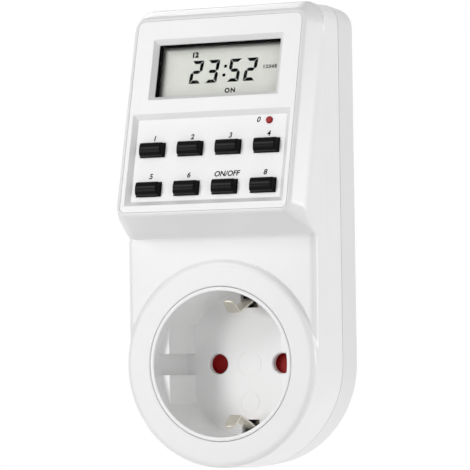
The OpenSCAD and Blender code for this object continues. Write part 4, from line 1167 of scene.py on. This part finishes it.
class TIMER_OT_reset_button(bpy.types.Operator):
    """Build the small red reset button"""
    bl_idname = "timer.reset_button"
    bl_label = "Reset button"

    def execute(self, context):
        side = rounded_line([(0, -6.8), (0.8, -6.8), (0.8, -3.9), (1.7, -3.9), (1.7, -3.1), (0.95, -3.1),
                             (0.95, -0.85), (0.5, -0.8), (0, -0.8)], 0.15)
        button = lathe("reset_button_cap", side, 48)
        tip(button, 90)
        turn_to_face(button, *RESET)
        dress(button, "reset_pom", "reset_button", ["reset_button"])
        return {"FINISHED"}


class TIMER_OT_display(bpy.types.Operator):
    """Draw the time and its small marks on the display"""
    bl_idname = "timer.display"
    bl_label = "Display digits"

    def execute(self, context):
        look = context.scene.timer_face
        high, lean = look.digit_height / MM, look.digit_lean
        bar, wide, gap, dot_u, dot_v = 0.94, 3.45, 0.1, 0.85, 1.24
        half = (high - bar) / 2
        across = wide - bar
        quarter = math.pi / 2
        tall = (half - 2 * gap) / (across - 2 * gap)
        # each bar's place, turn and length, and whether its left and right ends are mitred
        bars = {
            "a": (0, half, 0, 1, 1, 1), "d": (0, -half, math.pi, 1, 1, 1), "g": (0, 0, 0, 1, 0, 0),
            "b": (across / 2, half / 2, -quarter, tall, 1, 0), "c": (across / 2, -half / 2, -quarter, tall, 0, 1),
            "e": (-across / 2, -half / 2, quarter, tall, 1, 0), "f": (-across / 2, half / 2, quarter, tall, 0, 1),
        }
        lit = ["abcdef", "bc", "abged", "abgcd", "fgbc", "afgcd", "afgedc", "abc", "abcdefg", "abcdfg"]
        points, own = [], {"turn": [], "long": [], "left": [], "right": [], "dot": []}
        shown = "%02d%02d" % (look.hours, look.minutes)
        for digit, u in zip(shown, DIGITS_U):
            for name in lit[int(digit)]:
                x, y, *numbers = bars[name]
                points.append((u + x, y, 0))
                for title, number in zip(own, numbers + [0]):
                    own[title].append(number)
        for v in (-dot_v, dot_v):
            points.append((dot_u, v, 0))
            for title, number in zip(own, (0, 1, 0, 0, 1)):
                own[title].append(number)
        digits = grow("display_digits", digits_tree(), points, own=own,
                      bar_length=(across - 2 * gap) * MM, bar_width=bar * MM, lean=lean,
                      material=FINISH["crystal"])
        turn_to_face(digits, 0.15, 41.04, GLASS_W + 0.02)
        marks = join([
            lettering("mark", "12", 1.45, -8.2, 46.05, bold=0.12),
            lettering("mark", "12345", 0.95, 14.2, 41.6, bold=0.06, gap=1.3),
            lettering("mark", "ON", 1.3, 3.1, 35.45, bold=0.08, gap=1.25),
        ], "marks")
        turn_to_face(marks, 0, 0, GLASS_W + 0.01)
        dress(join([digits, marks], "display_digits"), "crystal", "casing")
        return {"FINISHED"}


class TIMER_OT_key_marks(bpy.types.Operator):
    """Print a plain number above each key, and the switch's mark"""
    bl_idname = "timer.key_marks"
    bl_label = "Key marks"

    def execute(self, context):
        look = context.scene.timer_face
        high = look.mark_height / MM
        words = ["1", "2", "3", "4", "5", "6", look.switch_mark, "8"]
        lower_v, upper_v, lean, bold = 11.2, 21.85, 0.18, 0.055
        marks = [lettering("mark", word, high, u + 0.2, lower_v if v == LOWER_ROW else upper_v, lean, bold)
                 for word, (u, v) in zip(words, KEYS)]
        marks.append(lettering("mark", "0", high, RESET[0] - 3.2, 25.85, lean, bold))
        printed = join(marks, "key_marks")
        turn_to_face(printed, 0, 0, -PAD_DEPTH)
        dress(printed, "ink", "casing")
        return {"FINISHED"}


class TIMER_OT_shutter(bpy.types.Operator):
    """Finish the shutter and wind its spring"""
    bl_idname = "timer.shutter"
    bl_label = "Shutter and spring"

    def execute(self, context):
        paint(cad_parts["shutter"].data, "red_pom")
        r, y, rise, leg, round_steps = 2.06, -5.8, 1.38, 3.4, 40
        steps = round_steps * context.scene.timer_metal.spring_turns
        angle = 2 * math.pi / round_steps
        path = [(r, y, -leg)] + [
            (r * math.cos(angle * i), y + rise * i / steps, r * math.sin(angle * i)) for i in range(steps + 1)]
        path.append((r, y + rise, leg))
        spring = grow("shutter_spring_coil", rod_tree(), path, chain(path), radius=0.2 * MM, bend_radius=0.1 * MM,
                      sides=10, material=FINISH["wire"])
        dress(spring, "wire", "shutter", ["shutter_spring"])
        return {"FINISHED"}


class TIMER_OT_earth_clips(bpy.types.Operator):
    """Bend the earth bracket: a clip in the socket and a contact beside the plug on each side"""
    bl_idname = "timer.earth_clips"
    bl_label = "Earth clips"

    def execute(self, context):
        bend = context.scene.timer_metal.clip_bend / MM
        thick, clip_w, strip_w = 0.6, 3.4, 4.6

        def width_at(from_tip, y):
            if y > -8.5:
                return strip_w
            r = clip_w / 2
            return clip_w if from_tip > r else 2 * math.sqrt(max(r * r - (r - from_tip) ** 2, 0.09))

        # one arm as [y, z]: from the contact beside the plug, along the plug's groove, through the floor and to the
        # clip's bent tip
        path = [(15.1, 15.7), (15.1, 17.5), (-9.9, 17.5), (-20.45, 13.9), (-24.8, 17.1)]
        arms = [bent_strip("arm", [(y, s * z) for y, z in path], thick, width_at, bend, 0.12) for s in (1, -1)]
        bridge = block("bridge", (-clip_w / 2, -3.6, -17.3), (clip_w / 2, -3.0, 17.3))
        bracket = join(arms + [bridge], "earth_clips")
        dress(bracket, "nickel", "casing", ["earth_bracket"])
        return {"FINISHED"}


class TIMER_OT_pins(bpy.types.Operator):
    """Turn the two round pins of the plug"""
    bl_idname = "timer.pins"
    bl_label = "Plug pins"

    def execute(self, context):
        neck, collar, seat, straight, tip = 1.5, 3.6, 2.9, 34.4, 36
        for name, s, tail in (("live_pin", 1, 11.9), ("neutral_pin", -1, 8.8)):
            side = rounded_line([(0, tail), (neck, tail), (neck, 12.9), (collar, 12.9), (collar, 14.5), (seat, 14.5),
                                 (seat, 17), (PIN_R, 17), (PIN_R, straight)], 0.12)
            # the tip is half an ellipse
            side += [(PIN_R * math.cos(a), straight + (tip - straight) * math.sin(a))
                     for a in np.linspace(0, math.pi / 2, 13)[1:-1]]
            pin = lathe(name + "_turned", side + [(0, tip)], 96, at=(s * PIN_X, 0))
            dress(pin, "pin", "casing", [name])
        return {"FINISHED"}


class TIMER_OT_screws(bpy.types.Operator):
    """Set the screws of the casing and of both boards"""
    bl_idname = "timer.screws"
    bl_label = "Screws"

    def execute(self, context):
        tree = screws_tree()
        recess = context.scene.timer_metal.recess_width
        zinc = FINISH["zinc"]
        casing = grow("casing_screw_heads", tree, [(x, -z, -6) for x, z in SCREWS], head_radius=2.7 * MM,
                      head_height=1.8 * MM, shank_radius=1.4 * MM, shank_length=13 * MM, recess_width=recess,
                      material=zinc)
        tip(casing, -90)
        dress(casing, "zinc", "casing", ["casing_screws"])

        small = dict(head_height=1.6 * MM, shank_radius=0.85 * MM, recess_width=recess, material=zinc)
        mains = grow("mains_board_screws", tree, [(x, z, 5.6) for x, z in MAINS_SCREWS],
                     head_radius=1.8 * MM, shank_length=3.2 * MM, **small)
        tip(mains, 90)
        dress(mains, "zinc", "casing", ["power_board_screws"])

        display = grow("display_board_screw_heads", tree, [(u, -v, 9.2) for u, v in DISPLAY_SCREWS],
                       head_radius=1.7 * MM, shank_length=4.5 * MM, **small)
        tip(display, 180)
        turn_to_face(display, 0, 0)
        dress(display, "zinc", "casing", ["display_board_screws"])
        return {"FINISHED"}


class TIMER_OT_wires(bpy.types.Operator):
    """Lay the three insulated wires from the socket chamber to the mains board"""
    bl_idname = "timer.wires"
    bl_label = "Wires"

    def execute(self, context):
        radius = context.scene.timer_metal.wire_radius
        tree = rod_tree()
        end = [(-4.3, 20.9), (-7.8, 25.6), (-7.8, 30.1), (-5.6, 30.1)]
        foot = [(12.1, 6.0), (-1.3, 6.0), (-2.8, 6.4), (-3.9, 7.5), (-4.3, 9.0)]
        for node, x, start, finish, slot in (
                ("live_wire", PIN_X, foot, "brown_pvc", "brown_sheath"),
                ("switched_wire", 13.95, [(-4.3, 0.5)], "brown_pvc", "brown_sheath"),
                ("neutral_wire", -13.95, [(-4.3, 0.5)], "blue_pvc", "blue_sheath")):
            path = [(x, y, z) for y, z in start + end]
            wire = grow(node + "_laid", tree, path, chain(path), radius=radius, bend_radius=1.6 * MM, sides=20,
                        material=FINISH[finish])
            dress(wire, finish, "casing", [node])
        return {"FINISHED"}


class TIMER_OT_stage(bpy.types.Operator):
    """Set up the pale floor, the soft lights and the camera"""
    bl_idname = "timer.stage"
    bl_label = "Stage"

    def execute(self, context):
        scene, look = context.scene, context.scene.timer_stage
        scene.view_settings.view_transform = "Standard"
        world = scene.world = bpy.data.worlds.new("studio")
        world.use_nodes = True
        tree = world.node_tree
        tree.nodes.clear()
        seen = seen_directly(tree, True)
        fill = add_node(tree, "ShaderNodeBackground", {"Color": (1, 1, 1, 1), "Strength": look.fill})
        white = add_node(tree, "ShaderNodeBackground", {"Color": (1, 1, 1, 1), "Strength": 1.0})
        mix = add_node(tree, "ShaderNodeMixShader", {0: seen, 1: fill.outputs[0], 2: white.outputs[0]})
        add_node(tree, "ShaderNodeOutputWorld", {"Surface": mix.outputs[0]})

        far, low = 3.0, -0.26
        mesh = bpy.data.meshes.new("floor")
        mesh.from_pydata([(-far, -far, low), (far, -far, low), (far, far, low), (-far, far, low)], [], [(0, 1, 2, 3)])
        floor = new_object("floor", mesh)
        # matte studio paper: an even pale surface that glows a little to the camera, so that it shows white
        # round the object's shadow
        mat, tree, out = new_material("matte studio paper")
        at = add_node(tree, "ShaderNodeTexCoord").outputs["Object"]
        grain = add_node(tree, "ShaderNodeTexNoise", {"Vector": at, "Scale": 400.0})
        paper = add_node(tree, "ShaderNodeBsdfDiffuse", {"Color": spread(tree, grain, 0.86, 0.9)})
        lift = maths(tree, "MULTIPLY", seen_directly(tree), 0.8)
        glow = add_node(tree, "ShaderNodeEmission", {"Color": (1, 1, 1, 1), "Strength": lift})
        both = add_node(tree, "ShaderNodeAddShader", {0: paper.outputs[0], 1: glow.outputs[0]})
        tree.links.new(both.outputs[0], out.inputs["Surface"])
        mesh.materials.append(mat)

        # each lamp is a soft disc: where it stands round the object, its power and its width
        lamp_distance = 0.9
        for name, az, el, watts, size in (
                ("high light", -28, 30, look.high_power, 0.3), ("front light", -30, 0, look.front_power, 0.3),
                ("right light", 50, 0, look.right_power, 0.3), ("side light", 110, 5, look.side_power, 0.3),
                ("back light", 215, 25, look.back_power, 0.6)):
            lamp = bpy.data.lights.new(name, "AREA")
            lamp.shape = "DISK"
            lamp.energy = watts
            lamp.size = size
            light = new_object(name, lamp)
            way = towards(math.radians(az), math.radians(el))
            light.location = Vector((0, -20, 35)) * MM + way * lamp_distance
            light.rotation_euler = way.to_track_quat("Z", "Y").to_euler()

        roll, aim = look.roll, Vector((-4.0, -10.5, 35.13)) * MM
        back = towards(look.azimuth, look.elevation)
        right = (-back).cross(Vector((0, 0, 1))).normalized()
        up = right.cross(-back)
        right, up = math.cos(roll) * right + math.sin(roll) * up, math.cos(roll) * up - math.sin(roll) * right
        data = bpy.data.cameras.new("camera")
        data.lens = look.lens
        data.sensor_width = 36
        data.clip_start = 0.05
        camera = new_object("camera", data)
        axes = Matrix((right, up, back)).transposed().to_4x4()
        camera.matrix_world = Matrix.Translation(aim + back * look.distance) @ axes
        scene.camera = camera
        return {"FINISHED"}


def seen_directly(tree, through=False):
    """1 on a camera or glossy ray, and on a transmission ray too if through, else 0."""
    path = add_node(tree, "ShaderNodeLightPath").outputs
    seen = maths(tree, "MAXIMUM", path["Is Camera Ray"], path["Is Glossy Ray"])
    return maths(tree, "MAXIMUM", seen, path["Is Transmission Ray"]) if through else seen


SETTINGS = {"timer_shells": TimerShells, "timer_face": TimerFace, "timer_metal": TimerMetal, "timer_stage": TimerStage}
STEPS = [
    TIMER_OT_stage, TIMER_OT_inner_parts, TIMER_OT_front_shell, TIMER_OT_rear_shell, TIMER_OT_cup, TIMER_OT_keys,
    TIMER_OT_reset_button, TIMER_OT_display, TIMER_OT_key_marks, TIMER_OT_shutter, TIMER_OT_earth_clips,
    TIMER_OT_pins, TIMER_OT_screws, TIMER_OT_wires,
]


class TIMER_PT_panel(bpy.types.Panel):
    """The timer's steps and settings"""
    bl_idname = "TIMER_PT_panel"
    bl_label = "Plug-in timer switch"
    bl_space_type = "VIEW_3D"
    bl_region_type = "UI"
    bl_category = "Timer"

    def draw(self, context):
        column = self.layout.column(align=True)
        for step in STEPS:
            column.operator(step.bl_idname)
        for name, kind in SETTINGS.items():
            box = self.layout.box()
            box.label(text=kind.__doc__)
            for title in kind.__annotations__:
                box.prop(getattr(context.scene, name), title)


def register():
    for kind in [*SETTINGS.values(), *STEPS, TIMER_PT_panel]:
        bpy.utils.register_class(kind)
    for name, kind in SETTINGS.items():
        setattr(bpy.types.Scene, name, PointerProperty(type=kind))


def unregister():
    for name in SETTINGS:
        delattr(bpy.types.Scene, name)
    for kind in [TIMER_PT_panel, *reversed(STEPS), *SETTINGS.values()]:
        bpy.utils.unregister_class(kind)


def main():
    register()
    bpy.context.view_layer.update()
    for step in STEPS:
        group, name = step.bl_idname.split(".")
        getattr(getattr(bpy.ops, group), name)()


if __name__ == "__main__":
    main()
